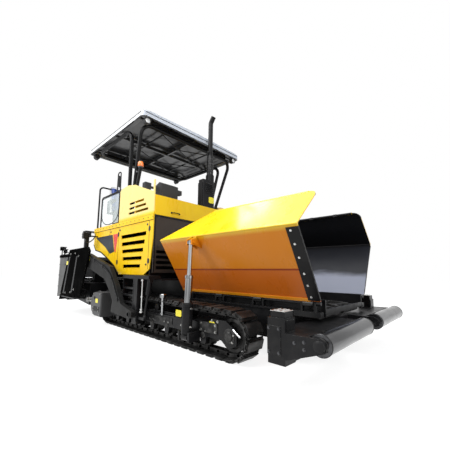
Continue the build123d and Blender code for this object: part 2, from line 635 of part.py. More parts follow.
def make_wing_hinges():
    """Hinge pins of the wings on their lugs and rails, on the chassis."""
    y, z = HINGE_Y, HINGE_Z
    lug = [(y - 26, FLOOR_Z), (y + 24, FLOOR_Z), (y + 24, z + 12), (y + 12, z + 24),
           (y - 12, z + 24), (y - 24, z + 12)]
    pins = bar_x(y, z, WING_X0 + 10, WING_X1 - 10, PIN_R)
    for x in hinge_places():
        for x0 in (x - SLEEVE_LENGTH / 2 - GAP - EAR_T, x + SLEEVE_LENGTH / 2 + GAP):
            pins += prism_x(lug, x0, x0 + EAR_T)
    pins += block(WING_X0 + 10, FRAME_X1, y - 60, y + 24, FLOOR_Z, FLOOR_Z + PLATE)
    pins += block(FRAME_X1, WING_X1 - 10, y - 60, y + 24, FLOOR_Z - 2 * PLATE, FLOOR_Z + PLATE)
    node("wing_hinges", both(pins))


def make_wing_cylinders():
    """Barrel, hollow stage and rod, drawn along Z from the foot pin and then tilted into place."""
    foot, eye = Vector(CYL_X, CYL_FOOT_Y, CYL_FOOT_Z), Vector(CYL_X, CYL_EYE_Y, CYL_EYE_Z)
    length = (eye - foot).length
    place = Plane(origin=foot, x_dir=(1, 0, 0), z_dir=eye - foot).location
    stage_foot = STAGE_TOP - STAGE_LENGTH
    barrel = rod((0, 0, 40), (0, 0, BARREL_LENGTH), CYL_R)
    barrel += bar_x(0, 0, -WHEEL_WIDTH / 2, WHEEL_WIDTH / 2, 48)
    barrel -= rod((0, 0, BARREL_FLOOR), (0, 0, BARREL_LENGTH + 1), STAGE_R + FIT)
    barrel -= bar_x(0, 0, -WHEEL_WIDTH, WHEEL_WIDTH, PIN_R + FIT)
    stage = rod((0, 0, stage_foot), (0, 0, STAGE_TOP), STAGE_R)
    stage -= rod((0, 0, stage_foot - 1), (0, 0, STAGE_TOP + 1), ROD_R + FIT)
    piston = rod((0, 0, length - ROD_LENGTH), (0, 0, length), ROD_R)
    piston += bar_x(0, length, -EYE_WIDTH / 2, EYE_WIDTH / 2, EYE_R)
    pair("wing_barrel", place * barrel)
    pair("wing_stage", place * stage)
    pair("wing_rod", place * piston)


# ---------------------------------------------------------------- push beam
def make_push_beam():
    back = BEAM_X1 - PLATE
    block_y = BEAM_Y - BLOCK_W
    beam = block(BEAM_X0, BEAM_X1, -BEAM_Y, BEAM_Y, BEAM_Z0, BEAM_Z1)
    beam -= block(BEAM_X0 - 1, back, -block_y, block_y, BEAM_Z0 + PLATE, BEAM_Z1 - PLATE)
    beam -= block(BEAM_X0 - 1, back, -110, 110, BEAM_Z0 - 1, BEAM_Z0 + PLATE + 1)
    arm = [(BEAM_X1 - 5, BEAM_Z0 + 40), (ROLLER_X - 40, ROLLER_Z - 80), (ROLLER_X + 40, ROLLER_Z - 50),
           (ROLLER_X + 50, ROLLER_Z + 30), (ROLLER_X, ROLLER_Z + 60), (BEAM_X1 - 5, BEAM_Z1)]
    for s in (-1, 1):
        beam += block(BEAM_X0 - 20, BEAM_X1, s * block_y, s * BEAM_Y, BEAM_Z0 - 10, BLOCK_Z)
        beam += block(BEAM_X0, BEAM_X1 - 10, s * (block_y + 20), s * (BEAM_Y - 20),
                      BLOCK_Z, BLOCK_Z + STEP_H)
        for y in (PUSH_Y1 + GAP, PUSH_Y0 - GAP - ARM_PLATE):
            beam += prism_y(arm, *sorted((s * y, s * (y + ARM_PLATE))))
        beam += block(BEAM_X1 - 5, ROLLER_X - PUSH_R - 15, s * (PUSH_Y0 - GAP), s * (PUSH_Y1 + GAP),
                      BEAM_Z1 - SHEET, BEAM_Z1)
        beam -= bar_y(ROLLER_X, ROLLER_Z, s * 100, s * (BEAM_Y + 10), PUSH_AXLE_R + FIT)
    # pivot sleeve round the chassis' vertical pin
    beam += rod((PIVOT_X, 0, FRAME_Z0 + 40), (PIVOT_X, 0, BEAM_Z1 - PLATE + 5), BEAM_PIVOT_R + 30)
    beam -= rod((PIVOT_X, 0, BEAM_Z0 - 10), (PIVOT_X, 0, BEAM_Z1 - PLATE - 20), BEAM_PIVOT_R + FIT)
    node("push_beam", beam)
    roller = bar_y(ROLLER_X, ROLLER_Z, PUSH_Y0, PUSH_Y1, PUSH_R)
    roller = fillet(roller.edges().filter_by(GeomType.CIRCLE), 8)
    roller += bar_y(ROLLER_X, ROLLER_Z, PUSH_Y0 - 30, PUSH_Y1 + 36, PUSH_AXLE_R)
    pair("push_roller", roller)


# ---------------------------------------------------------------- bodies, hood and deck
def body_outline():
    """(x, z) outline of a side skin in three stretches; the arch leaves room for the tow arm."""
    def along(share):
        return BODY_X0 + share * (BODY_X1 - BODY_X0)

    def up(share):
        return BODY_Z0 + share * (SHELF_Z - BODY_Z0)

    arch = [(along(a), up(b)) for a, b in ARCH]
    post = BODY_X1 - POST_STRIP
    front = [(along(a), up(b)) for a, b in PROW]
    front += [(BODY_X1, HOOD_Z + POST_RISE), (post, HOOD_Z + POST_RISE), (post, HOOD_Z + SHOULDER)]
    dome = [(along(a), HOOD_Z + rise) for a, rise in DOME]
    return arch, front, dome + [(dome[-1][0], SHELF_Z), (BODY_X0, SHELF_Z)]


def make_bodies():
    """Side skins with louvres, cooling slots, an arch flange and folded edges."""
    y = BODY_Y
    arch, front, dome = body_outline()
    foot_x0, foot_x1 = arch[-1][0], front[0][0]
    skin = prism_y(arch + front + dome, BODY_IN, y)
    skin += prism_y(ribbon(arch, HOOD_T), y - FLANGE, y)
    skin += block(BODY_X0, BODY_X1, y - 1, y + BAND_T, SHELF_Z - BAND_H, SHELF_Z)
    for i in range(LOUVRE_COUNT):
        z = SHELF_Z - LOUVRE_TOP - LOUVRE_PITCH * i
        x0, x1 = foot_x0 + 40 + 33 * i, foot_x1 + 30 - 40 * i
        skin -= block(x0, x1, BODY_IN - 1, y + 1, z - LOUVRE_H, z)
        foot = z - LOUVRE_H - 2
        blade = ribbon([(y - 2, foot), (y - LOUVRE_DEPTH, foot + 26)], -HOOD_T / 2)
        skin += prism_x(blade, x0 - 1, x1 + 1)
    for i in range(SLOT_COUNT):
        z = HOOD_Z - 30 - SLOT_PITCH * i
        x0, x1 = BODY_X1 - 880 - 10 * i, BODY_X1 - 350 + 80 * i
        skin -= block(x0, x1, BODY_IN - 1, y + 1, z - SLOT_H / 2, z + SLOT_H / 2)
    skin += block(foot_x0, foot_x1, y - FLANGE, y, BODY_Z0, BODY_Z0 + HOOD_T)
    skin += block(BODY_X0, BODY_X0 + HOOD_T, y - FLANGE, y, arch[0][1], SHELF_Z)
    pair("side_body", skin)


def make_hood():
    """Front band, dark grille under it and the fixed strip between the lids."""
    half = BODY_IN
    hood = block(HOOD_X - HOOD_T, HOOD_X, -half, half, SHELF_Z, HOOD_Z)
    hood += block(HOOD_X - 90, HOOD_X - HOOD_T + 1, -half, half, HOOD_Z - HOOD_T, HOOD_Z)
    hood += block(LID_X - 1, HOOD_X - 89, GAP - LID_Y, LID_Y - GAP, HOOD_Z - HOOD_T, HOOD_Z)
    hood += block(LID_X - 40, LID_X, -half, half, SHELF_Z, HOOD_Z + 20)
    node("front_hood", hood)
    low, top = TUNNEL_TOP + 120, SHELF_Z - 6
    grille = block(HOOD_X - 18, HOOD_X - 4, -half, half, low, top)
    for i in range(4):
        z = low + 60 + 90 * i
        grille -= block(HOOD_X - 20, HOOD_X, 60 - half, half - 60, z, z + 55)
        grille += block(HOOD_X - 60, HOOD_X - 10, 50 - half, half - 50, z + 55, z + 64)
    node("front_grille", grille)
    node("engine_block", block(ENGINE_X0, ENGINE_X1, -ENGINE_Y, ENGINE_Y, ENGINE_Z0, ENGINE_Z1))
    lid = block(LID_X + GAP, HOOD_X - 90 - GAP, LID_Y, half - GAP, HOOD_Z - HOOD_T + 2, HOOD_Z)
    lid += block(LID_X + 60, HOOD_X - 150, LID_Y + 80, half - 90, HOOD_Z - 1, HOOD_Z + 18)
    lid += bar_y(LID_X + 30, HOOD_Z + 10, LID_Y + 30, half - 30, LID_HINGE_R)
    pair("hood_lid", lid)


def lift_hanger():
    """Cheeks under the deck's rear edge that hold a lift cylinder's top pin."""
    y0, y1 = LIFT_Y - 50 - CHEEK_T, LIFT_Y + 50
    hanger = block(LIFT_X - 60, BODY_X0, BODY_IN - 190, y1 + CHEEK_T, LIFT_TOP + 60, LIFT_TOP + 84)
    hanger += block(LIFT_X + 60, BODY_X0 + 20, BODY_IN - 190, BODY_IN - 150, LIFT_TOP + 60, SHELF_Z)
    for y in (y0, y1):
        cheek = block(LIFT_X - 60, LIFT_X + 60, y, y + CHEEK_T, LIFT_TOP - 50, LIFT_TOP + 61)
        hanger += cheek
    return hanger + bar_y(LIFT_X, LIFT_TOP, y0, y1 + CHEEK_T, PIN_R)


def make_deck():
    """Operator's platform with the lift cylinders' hangers, a rear ladder and control boxes."""
    half, z = BODY_IN, SHELF_Z
    deck = block(BODY_X0, DECK_X1, -half, half, z - DECK_T, z)
    for s in (-1, 1):
        deck -= block(BODY_X0 - 1, BODY_X0 + HOOD_T, s * (BODY_Y - FLANGE), s * (half + 1), z - 60, z + 1)
        hanger = flip(lift_hanger(), s)
        deck += hanger
        x, box_z, half_box = BODY_X0 + 200, z - 200, SIDE_BOX / 2
        deck += flip(block(x - half_box, x + half_box, ARM_Y0 + 10, ARM_Y1 + 20,
                           box_z - 0.7 * SIDE_BOX, box_z + 0.7 * SIDE_BOX), s)
        deck += flip(bar_y(x, box_z, BODY_Y, ARM_Y0 + 12, RAIL_R), s)
    for y in (LADDER_Y0, LADDER_Y1 - PLATE):
        deck += block(BODY_X0 - 30, BODY_X0 + 5, y, y + PLATE, z - 3 * RUNG_PITCH - 10, z)
    for i in range(3):
        rung_z = z - RUNG_PITCH * (i + 1)
        deck += block(BODY_X0 - 60, BODY_X0 - 5, LADDER_Y0, LADDER_Y1, rung_z, rung_z + PLATE)
    node("deck", deck)


def make_stations():
    """Console and the two seats."""
    z, top = SHELF_Z, SHELF_Z + CONSOLE_H
    front = CONSOLE_X
    console = prism_y([(front - 240, z), (front - 40, z), (front, z + 700), (front, top - 40),
                       (front - 80, top), (front - 240, top - 60), (front - 340, top - 230),
                       (front - 250, z + 560)], CONSOLE_Y0, CONSOLE_Y1)
    # control box on the right and display on the left, each on its bracket
    console += block(front - 320, front - 200, CONSOLE_Y0 - 260, CONSOLE_Y0 - 120, top - 170, top - 30)
    console += block(front - 280, front - 240, CONSOLE_Y0 - 121, CONSOLE_Y0 + 1, top - 120, top - 80)
    console += block(front - 170, front - 70, CONSOLE_Y1 - 1, CONSOLE_Y1 + 160, top - 170, top - 70)
    x0, x1 = SEAT_X - SEAT_D / 2, SEAT_X + SEAT_D / 2
    y0, y1 = SEAT_Y - SEAT_W / 2, SEAT_Y + SEAT_W / 2
    base = block(x0 + 80, x1 - 60, y0 + 65, y1 - 65, z, z + SEAT_H - 30)
    base += block(x0, x1, y0, y1, z + SEAT_H - 30, z + SEAT_H)
    base += block(x0, x0 + 60, y0 - 45, y1 + 45, z + SEAT_H - 30, z + SEAT_H)
    for y in (y0 - 45, y1 + 5):
        base += block(x0, x0 + 60, y, y + 40, z + SEAT_H - 30, z + SEAT_H + 230)
        base += block(x0, x1 - 60, y, y + 40, z + SEAT_H + 200, z + SEAT_H + 250)
    node("stations", Compound(children=[console, flip(base, -1), base]))
    pad = block(x0 + 60, x1, y0 + 10, y1 - 10, z + SEAT_H, z + SEAT_H + CUSHION_T)
    pad = fillet(pad.edges().filter_by(Axis.Z), 60)
    place = Pos(x0 + 10, SEAT_Y, z + SEAT_H + 40 + BACK_H / 2) * Rot(0, -BACK_LEAN, 0)
    node("seat_pads", both(pad + place * Box(BACK_T, SEAT_W - 40, BACK_H)))


# ---------------------------------------------------------------- canopy, glass, rails, lamps
def roof_section(half, z0, fascia):
    """(y, z) section across the roof: upright fascia, shoulder and slight crown."""
    z = z0 + fascia
    left = [(half, z0), (half, z), (half - ROOF_SHOULDER, z + 0.6 * ROOF_RISE), (0, z + ROOF_RISE)]
    return left + [(-y, h) for y, h in left[-2::-1]]


def make_canopy():
    outer = prism_x(roof_section(ROOF_Y, ROOF_Z, ROOF_FASCIA), ROOF_X0, ROOF_X1)
    outer = fillet(outer.edges().filter_by(Axis.Z), 60)
    hollow = prism_x(roof_section(ROOF_Y - ROOF_T, ROOF_Z - 1, ROOF_FASCIA - ROOF_T + 1),
                     ROOF_X0 + ROOF_T, ROOF_X1 - ROOF_T)
    roof = outer - hollow
    rib_z = ROOF_Z + ROOF_FASCIA - ROOF_T + 20
    middle = (RAIL_REAR_X + HOOP_TOP_X) / 2
    # (x of a cross rib, its lower face)
    for x, z0 in ((RAIL_REAR_X, ROOF_Z), (middle, ROOF_Z + 30), (HOOP_TOP_X, ROOF_Z)):
        roof += block(x - 30, x + 30, -HOOP_FOOT_Y, HOOP_FOOT_Y, z0, rib_z)
        roof += block(x - 20, x + 20, ROOF_T - ROOF_Y, ROOF_Y - ROOF_T, ROOF_Z + 20, ROOF_Z + 55)
    roof += block(ROOF_X0 + ROOF_T, ROOF_X1 - ROOF_T, -20, 20, ROOF_Z + 30, rib_z + 30)
    node("canopy_roof", roof)
    z0, z1 = SHELF_Z - 30, ROOF_Z - HOOP_R
    foot_y, top_y = HOOP_FOOT_Y, HOOP_TOP_Y
    front = [(HOOP_FOOT_X, -foot_y, z0), (HOOP_TOP_X, -top_y, z1), (HOOP_TOP_X, top_y, z1),
             (HOOP_FOOT_X, foot_y, z0)]
    rear = [(RAIL_FOOT_X, -foot_y, z0), (RAIL_TOP_X, -top_y, z1), (RAIL_REAR_X, -top_y, z1),
            (RAIL_REAR_X, top_y, z1), (RAIL_TOP_X, top_y, z1), (RAIL_FOOT_X, foot_y, z0)]
    below = block(BODY_X0, BODY_X1, -BODY_Y, BODY_Y, SHELF_Z - 200, SHELF_Z)
    hoops = [tube_path(path, HOOP_R, HOOP_BEND) - below for path in (front, rear)]
    node("canopy_hoops", Compound(children=hoops))


def make_lamps():
    """Four work lamps under the roof and the beacon on its tube."""
    lamps = []
    z = ROOF_Z - LAMP_DROP
    # (inner face of the fascia, which way the lamp faces)
    for face, way in ((ROOF_X1 - ROOF_T, 1), (ROOF_X0 + ROOF_T, -1)):
        for s in (-1, 1):
            x, y = face - way * LAMP_BACK, s * (ROOF_Y - 135)
            lamp = rod((x - way * 76, y, z), (x, y, z), LAMP_R)
            lamp += block(x - way * 60, face, y - 20, y + 20, ROOF_Z + 5, ROOF_Z + 30)
            lamps.append(lamp)
    lamps.append(bar_z(BEACON_X, 2 * RAIL_R - BODY_IN, BEACON_Z, BEACON_Z + 110, 48))
    node("work_lamps", Compound(children=lamps))


def make_glass_and_rails():
    y = BODY_Y - 10
    x0, x1, z1 = PANE_X0, PANE_X1, PANE_Z1
    pane = prism_y([(x0, PANE_Z0), (x1, PANE_Z0), (x1, z1), (x0, z1)], y - PANE_T, y)
    node("wind_glass", both(fillet(pane.edges().filter_by(Axis.Y).group_by(Axis.Z)[-1], 40)))
    mid = y - PANE_T / 2
    frame = tube_path([(x0 - 30, mid, SHELF_Z), (x0 - 30, mid, z1 + 30), (x1 + 30, mid, z1 + 30),
                       (x1 + 30, mid, SHELF_Z)], RAIL_R, 60)
    # mirror arm on the pane's frame
    frame += tube_path([(x1 - 125, mid, z1 + 30), (x1 - 110, mid, RAIL_Z + 70),
                        (x1 + 15, mid, RAIL_Z + 70), (x1 + 23, mid, z1 + 30)], RAIL_R - 4, 50)
    x = BODY_X0 + 22
    rail = tube_path([(x, y - 40, SHELF_Z), (x, y - 40, RAIL_Z), (x, 500, RAIL_Z), (x, 500, SHELF_Z)],
                     RAIL_R + 3, 90)
    post_y = 2 * RAIL_R - BODY_IN
    post = rod((BEACON_X - 110, post_y, BEACON_Z - 380), (BEACON_X, post_y, BEACON_Z - 10), 2 * RAIL_R)
    post += bar_z(BEACON_X, post_y, BEACON_Z - 20, BEACON_Z, 2 * RAIL_R + 2)
    rails = [flip(piece, side) for piece in (frame, rail) for _, side in SIDES]
    node("handrails", Compound(children=rails + [post]))


def make_exhaust():
    """Housing on the hood, heat shield and the stack with its bent tip."""
    half, side = STACK_BOX_D / 2, STACK_Y + SHIELD_R
    housing = block(STACK_X - half, STACK_X + half, side - STACK_BOX, side, HOOD_Z, STACK_Z)
    housing = fillet(housing.edges().filter_by(Axis.Z), 30)
    shield = block(STACK_X - SHIELD_R, STACK_X + SHIELD_R, STACK_Y - SHIELD_R, side,
                   STACK_Z - 5, STACK_Z + SHIELD_H)
    shield = fillet(shield.edges().filter_by(Axis.Z), 40)
    pipe = tube_path([(STACK_X, STACK_Y, STACK_Z), (STACK_X, STACK_Y, STACK_TOP),
                      (STACK_X + TIP_REACH, STACK_Y, STACK_TOP + TIP_RISE)], STACK_R, TIP_REACH)
    node("exhaust", housing + shield + pipe)


# ---------------------------------------------------------------- tow points, arms, lift
def make_tow_posts():
    """Guide post of each tow point, its levelling cylinder and the side steps behind it."""
    top = BODY_Z0 - GAP
    post = block(POST_X0, POST_X1, POST_Y0, POST_Y1, 200, top)
    post += bar_y(TOW_X, TOW_Z, POST_Y1 - 5, ARM_Y1 + 10, TOW_PIN_R)
    post += block(POST_X0 - STEP_LENGTH, POST_X1 + 330, BODY_IN, POST_Y1, top - 54, top)
    mid = (POST_Y0 + POST_Y1) / 2
    # levelling cylinder ahead of the post: clevis, barrel, rod and ball
    x = POST_X1 + 290
    post += block(x - 30, x + 30, mid - 30, mid + 30, top - 100, top)
    post += rod((x - 5, mid, top - 60), (x - 50, mid, top - 300), LEVEL_R)
    post += rod((x - 50, mid, top - 300), (x - 120, mid, TOW_Z), LEVEL_R / 2)
    post += Pos(x - 120, mid, TOW_Z - 30) * Sphere(LEVEL_R - 8)
    post += block(POST_X1, x - 100, mid - 30, mid + 30, TOW_Z - 80, TOW_Z - 40)
    for share in STEP_SHARES:
        z = share * BODY_Z0
        post += block(POST_X0 - STEP_LENGTH, POST_X0, POST_Y0, POST_Y1 - 10, z - 60, z - 30)
    post += block(POST_X0 - STEP_LENGTH, POST_X0 - STEP_LENGTH + 15, POST_Y0, POST_Y1 - 10,
                  STEP_SHARES[-1] * BODY_Z0 - 60, top)
    node("tow_posts", both(post))


def make_tow_arms():
    """Cranked arm from the tow point over the track to the screed."""
    tip = TOW_X + 2 * TOW_PIN_R
    outline = [(tip, TOW_Z + 50), *ARM_TOP, (LIFT_X - 240, ARM_END), (LIFT_X - 240, ARM_TIP), *ARM_LOW,
               (TOW_X - 20, TOW_Z - 70), (tip, TOW_Z - 40)]
    arm = rounded_y(prism_y(outline, ARM_Y0, ARM_Y1), 24)
    arm -= bar_y(TOW_X, TOW_Z, ARM_Y0 - 1, ARM_Y1 + 1, TOW_PIN_R + FIT)
    arm += bracket_of_lift()
    node("tow_arms", both(arm))


def bracket_of_lift():
    """Shelf and cheeks on the arm for the lift cylinder's lower eye."""
    y0, y1 = LIFT_Y - 50 - CHEEK_T, LIFT_Y + 50
    low = LIFT_EYE - LIFT_EYE_R - 40
    shelf = block(LIFT_X - 60, LIFT_X + 60, y0, ARM_Y0 + 1, low, low + CHEEK_T)
    # (inner edge of the cheek, end of its pin boss)
    for y, boss in ((y0, y0 - 10), (y1, y1 + CHEEK_T + 8)):
        shelf += block(LIFT_X - 60, LIFT_X + 60, y, y + CHEEK_T, low, LIFT_EYE + 50)
        shelf += bar_y(LIFT_X, LIFT_EYE, min(boss, y + 1), max(boss, y + 1), PIN_R)
    return shelf


def make_lift_cylinders():
    """Short vertical cylinders between the deck and the tow arms."""
    y0, y1 = LIFT_Y - 46, LIFT_Y + 46
    low = LIFT_TOP - LIFT_LENGTH
    barrel = rod((LIFT_X, LIFT_Y, low), (LIFT_X, LIFT_Y, LIFT_TOP), LIFT_R)
    barrel += bar_y(LIFT_X, LIFT_TOP, y0, y1, LIFT_EYE_R + 4)
    barrel &= block(LIFT_X - 100, LIFT_X + 100, y0, y1, low, LIFT_TOP + 50)
    barrel -= rod((LIFT_X, LIFT_Y, low - 1), (LIFT_X, LIFT_Y, LIFT_TOP - 80), LIFT_ROD_R + FIT)
    barrel -= bar_y(LIFT_X, LIFT_TOP, y0 - 1, y1 + 1, PIN_R + FIT)
    piston = rod((LIFT_X, LIFT_Y, LIFT_EYE), (LIFT_X, LIFT_Y, LIFT_TOP - 90), LIFT_ROD_R)
    piston += bar_y(LIFT_X, LIFT_EYE, y0, y1, LIFT_EYE_R)
    node("lift_barrels", both(barrel))
    node("lift_rods", both(piston))


# ---------------------------------------------------------------- augers
def flight():
    """One half turn of an auger flight: ruled between radial sections an eighth turn apart."""
    steps = 4
    sections = []
    for i in range(steps + 1):
        turn = math.pi * i / steps
        y = FLIGHT_PITCH * i / steps / 2
        inner, outer = SHAFT_R - 8, AUGER_R
        corners = [(r, y + dy) for r, dy in ((inner, 0), (outer, 0), (outer, FLIGHT_T), (inner, FLIGHT_T))]
        sections.append(Wire.make_polygon([Vector(r * math.cos(turn), h, r * math.sin(turn))
                                           for r, h in corners]))
    return loft([Face(w) for w in sections], ruled=True)


def make_augers():
    """Shaft with half-turn flights end to end; left and right hands mirror each other."""
    half_turn = flight()
    auger = bar_y(AUGER_X, AUGER_Z, AUGER_Y0, AUGER_Y1, SHAFT_R)
    count = int((AUGER_Y1 - AUGER_Y0 - 3 * FLIGHT_T) / (FLIGHT_PITCH / 2))
    for i in range(count):
        y = AUGER_Y0 + FLIGHT_T + i * FLIGHT_PITCH / 2
        auger += Pos(AUGER_X, y, AUGER_Z) * Rot(0, 180 * (i % 2), 0) * half_turn
    pair("auger", auger)


# ---------------------------------------------------------------- screed
def sole_z(x):
    """Height of the common sole plane at x, arms raised."""
    drop = math.radians(SCREED_DROP)
    return TOW_Z - (TOW_Z - MAT_Z) / math.cos(drop) + (TOW_X - x) * math.tan(drop)


def sole_body(x0, x1, top, y0, y1):
    """Welded box on the sole plane, hollow inside, with an access hole in its rear wall."""
    body = prism_y([(x0, sole_z(x0)), (x1, sole_z(x1)), (x1, top), (x0, top)], y0, y1)
    a, b = x0 + PLATE, x1 - PLATE
    body -= prism_y([(a, sole_z(a) + SOLE_T), (b, sole_z(b) + SOLE_T), (b, top - PLATE), (a, top - PLATE)],
                    y0 + PLATE, y1 - PLATE)
    middle = (y0 + y1) / 2
    return body - block(x0 - 1, a + 1, middle - 90, middle + 90, top - 200, top - 80)


def make_screed_frame():
    """Main screed, its uprights and the cross beam between the arms."""
    body = sole_body(SCREED_X0, SCREED_X1, SCREED_TOP, 0, SCREED_Y)
    body += flip(body, -1)
    half = CROSS_W / 2
    body += block(BEAM_X - half, BEAM_X + half, -ARM_Y0, ARM_Y0, CROSS_Z0, CROSS_Z1)
    body -= block(BEAM_X - half + SHEET, BEAM_X + half - SHEET, -ARM_Y0 - 1, ARM_Y0 + 1,
                  CROSS_Z0 + SHEET, CROSS_Z1 - SHEET)
    for s in (-1, 1):
        upright = [(900, CROSS_Z0 + 5), (1000, CROSS_Z0 + 5), (1080, SCREED_TOP - 5), (820, SCREED_TOP - 5)]
        body += flip(prism_x(upright, BEAM_X - half, BEAM_X + half), s)
        body += block(SCREED_X1 - 250, SCREED_X1 - 50, s * 130, s * 780, SCREED_TOP - 5, SCREED_TOP + 70)
        for y in (0, SCREED_Y - PLATE):
            body += block(GUIDE_XS[0] - 50, GUIDE_XS[1] + 50, s * y, s * (y + PLATE),
                          SCREED_TOP - 5, GUIDE_Z + 50)
    guides = []
    for x in GUIDE_XS:
        for s in (-1, 1):
            guides.append(bar_y(x, GUIDE_Z, s * PLATE, s * (SCREED_Y - PLATE), GUIDE_R))
    node("screed_frame", body)
    node("screed_guides", Compound(children=guides))


def make_extensions():
    """Sliding extension: body, carriage on the guides, tray with side plate, hinge lugs."""
    y0, y1 = EXT_Y0, EXT_Y1
    ext = sole_body(EXT_X0, EXT_X1, EXT_TOP, y0, y1)
    inner, outer, top = y0 + 30, y0 + 30 + CARRIAGE_W, GUIDE_Z + 50
    carriage = block(GUIDE_XS[0] - 50, GUIDE_XS[1] + 50, inner, outer, EXT_TOP, top)
    carriage += block(EXT_X1 - 120, GUIDE_XS[0] - 49, inner, outer, EXT_TOP - 5, top)
    for x in GUIDE_XS:
        carriage -= bar_y(x, GUIDE_Z, y0, y0 + 40 + CARRIAGE_W, GUIDE_R + FIT)
    ext += carriage
    side = [(TRAY_X + 10, TRAY_Z - 30), (EXT_X0, sole_z(EXT_X0)), (EXT_X1, sole_z(EXT_X1)),
            (EXT_X1, EXT_TOP + 200), (EXT_X1 - 260, EXT_TOP + 650), (TRAY_X + 10, EXT_TOP + 650)]
    ext += prism_y(side, y1 - SIDE_T, y1)
    ext += block(TRAY_X, EXT_X0 + 5, y0, y1, TRAY_Z - 30, TRAY_Z)
    ext += block(TRAY_X, TRAY_X + 50, y0, y1, TRAY_Z - 50, TRAY_Z + 30)
    pin = bar_y(WALK_X, WALK_Z, y0, y1 - SIDE_T, KNUCKLE_PIN_R)
    for y in (y0, (y0 + y1 - SIDE_T - PLATE) / 2, y1 - SIDE_T - PLATE):
        pin += block(WALK_X, TRAY_X + 5, y, y + PLATE, WALK_Z - LUG_END_R, WALK_Z + LUG_END_R)
        pin += bar_y(WALK_X, WALK_Z, y, y + PLATE, LUG_END_R)
    pair("screed_extension", ext + pin)


def make_walkways():
    """Folding foot boards: a ribbed pan on knuckles."""
    y0, y1 = EXT_Y0, EXT_Y1 - SIDE_T - PLATE
    x0, x1 = WALK_X1 - WALK_T, WALK_X1
    low, top = WALK_Z + PLATE, WALK_Z + WALK_H
    skin = 10.0
    pan = block(x0, x1, y0, y1, low, top)
    ribs = 4
    pitch = (y1 - y0) / ribs
    for i in range(ribs):
        pan -= block(x0 - 1, x1 - skin, y0 + i * pitch + skin, y0 + (i + 1) * pitch - skin,
                     low + 30, top - 30)
    middle = (y0 + y1) / 2
    # (y from, y to) of the two knuckles, clear of the three lugs
    for a, b in ((y0 + PLATE + GAP, middle - PLATE), (middle + PLATE, y1 - GAP)):
        knuckle = bar_y(WALK_X, WALK_Z, a, b, KNUCKLE_R)
        knuckle += block(WALK_X - 10, x1 - 4, a, b, WALK_Z, low + 1)
        pan += knuckle
    pan -= bar_y(WALK_X, WALK_Z, y0 - 1, y1 + 1, KNUCKLE_PIN_R + FIT)
    pair("walkway", pan)


def make_end_plates():
    """Outer end plate with its nose loop, brackets, and the screed worker's control posts."""
    y0, y1 = END_Y0, END_Y1
    outline = [(EXT_X0 + 90, 330), (SCREED_X1 + 220, 480), (SCREED_X1 + 600, 1450), (SCREED_X1 + 500, 1540),
               (SCREED_X0 + 70, 1530)]
    plate = rounded_y(prism_y(outline, y0, y1), 20)
    plate += block(EXT_X0 + 150, EXT_X0 + 450, EXT_Y1, y0 + 1, 500, 700)
    mid = (y0 + y1) / 2
    nose = SCREED_X1 + 230
    plate += tube_path([(nose - 20, mid, 500), (nose + 290, mid, 470), (nose + 290, mid, 640),
                        (nose + 20, mid, 660)], 14, 50)
    top = EXT_TOP + 630
    plate += block(TRAY_X + 60, SCREED_X0 + 60, EXT_Y1, y0 + 1, top - 60, top)
    # (x, height, half size of the box on top)
    for x, rise, half in ((TRAY_X + 190, 130, 55), (TRAY_X + 400, 60, 35)):
        plate += bar_z(x, EXT_Y1 + END_CLEAR / 2, top - 5, top + rise, 12)
        plate += block(x - half, x + half, EXT_Y1 - half, EXT_Y1 + half, top + rise - 5, top + rise + 90)
    pair("end_plate", plate)


# ---------------------------------------------------------------- write the pieces
if __name__ == "__main__":
    os.makedirs("parts", exist_ok=True)
    for make in (make_tracks, make_track_wheels, make_track_frames, make_chassis, make_conveyors,
                 make_wings, make_wing_hinges, make_wing_cylinders, make_push_beam, make_bodies,
                 make_hood, make_deck, make_stations, make_canopy, make_lamps,
                 make_glass_and_rails, make_exhaust, make_tow_posts, make_tow_arms,
                 make_lift_cylinders, make_augers, make_screed_frame, make_extensions,
                 make_walkways, make_end_plates):
        make()
    for name, shape in NODES.items():
        export_step(shape, f"parts/{name}.step")
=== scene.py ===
# %% [markdown]
# # A tracked asphalt paver
#
# The paver is a heavy steel machine: two track loops carry a chassis with a folding hopper in
# front, a diesel under a yellow hood, a roofed platform and, behind, a screed that floats on two
# long arms.  The solids are loaded as a fixed frame.  This lesson gives each one its finish and
# adds what is too fine for the solids: fasteners, treads, seams, cushions, lenses and trim.

# %% Load the frame
import json
import math

import bmesh
import bpy
from mathutils import Matrix, Vector

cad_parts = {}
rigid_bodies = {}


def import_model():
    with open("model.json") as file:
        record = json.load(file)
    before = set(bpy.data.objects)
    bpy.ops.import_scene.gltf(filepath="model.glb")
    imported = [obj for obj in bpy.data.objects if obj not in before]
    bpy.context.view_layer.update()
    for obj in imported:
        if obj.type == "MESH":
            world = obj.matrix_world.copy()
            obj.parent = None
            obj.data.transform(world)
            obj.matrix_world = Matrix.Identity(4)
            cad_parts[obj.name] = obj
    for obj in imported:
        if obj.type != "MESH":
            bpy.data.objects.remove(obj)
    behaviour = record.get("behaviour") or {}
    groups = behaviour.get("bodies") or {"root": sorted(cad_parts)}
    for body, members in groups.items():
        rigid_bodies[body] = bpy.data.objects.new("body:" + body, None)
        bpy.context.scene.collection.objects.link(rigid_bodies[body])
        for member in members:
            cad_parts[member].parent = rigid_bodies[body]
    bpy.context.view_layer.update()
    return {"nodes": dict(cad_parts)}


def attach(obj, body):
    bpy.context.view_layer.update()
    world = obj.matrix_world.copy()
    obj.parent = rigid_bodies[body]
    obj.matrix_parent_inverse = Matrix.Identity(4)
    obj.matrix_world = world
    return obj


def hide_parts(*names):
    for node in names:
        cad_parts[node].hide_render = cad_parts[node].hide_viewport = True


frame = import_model()
nodes = frame["nodes"]
SIDES = (("right", -1), ("left", 1))

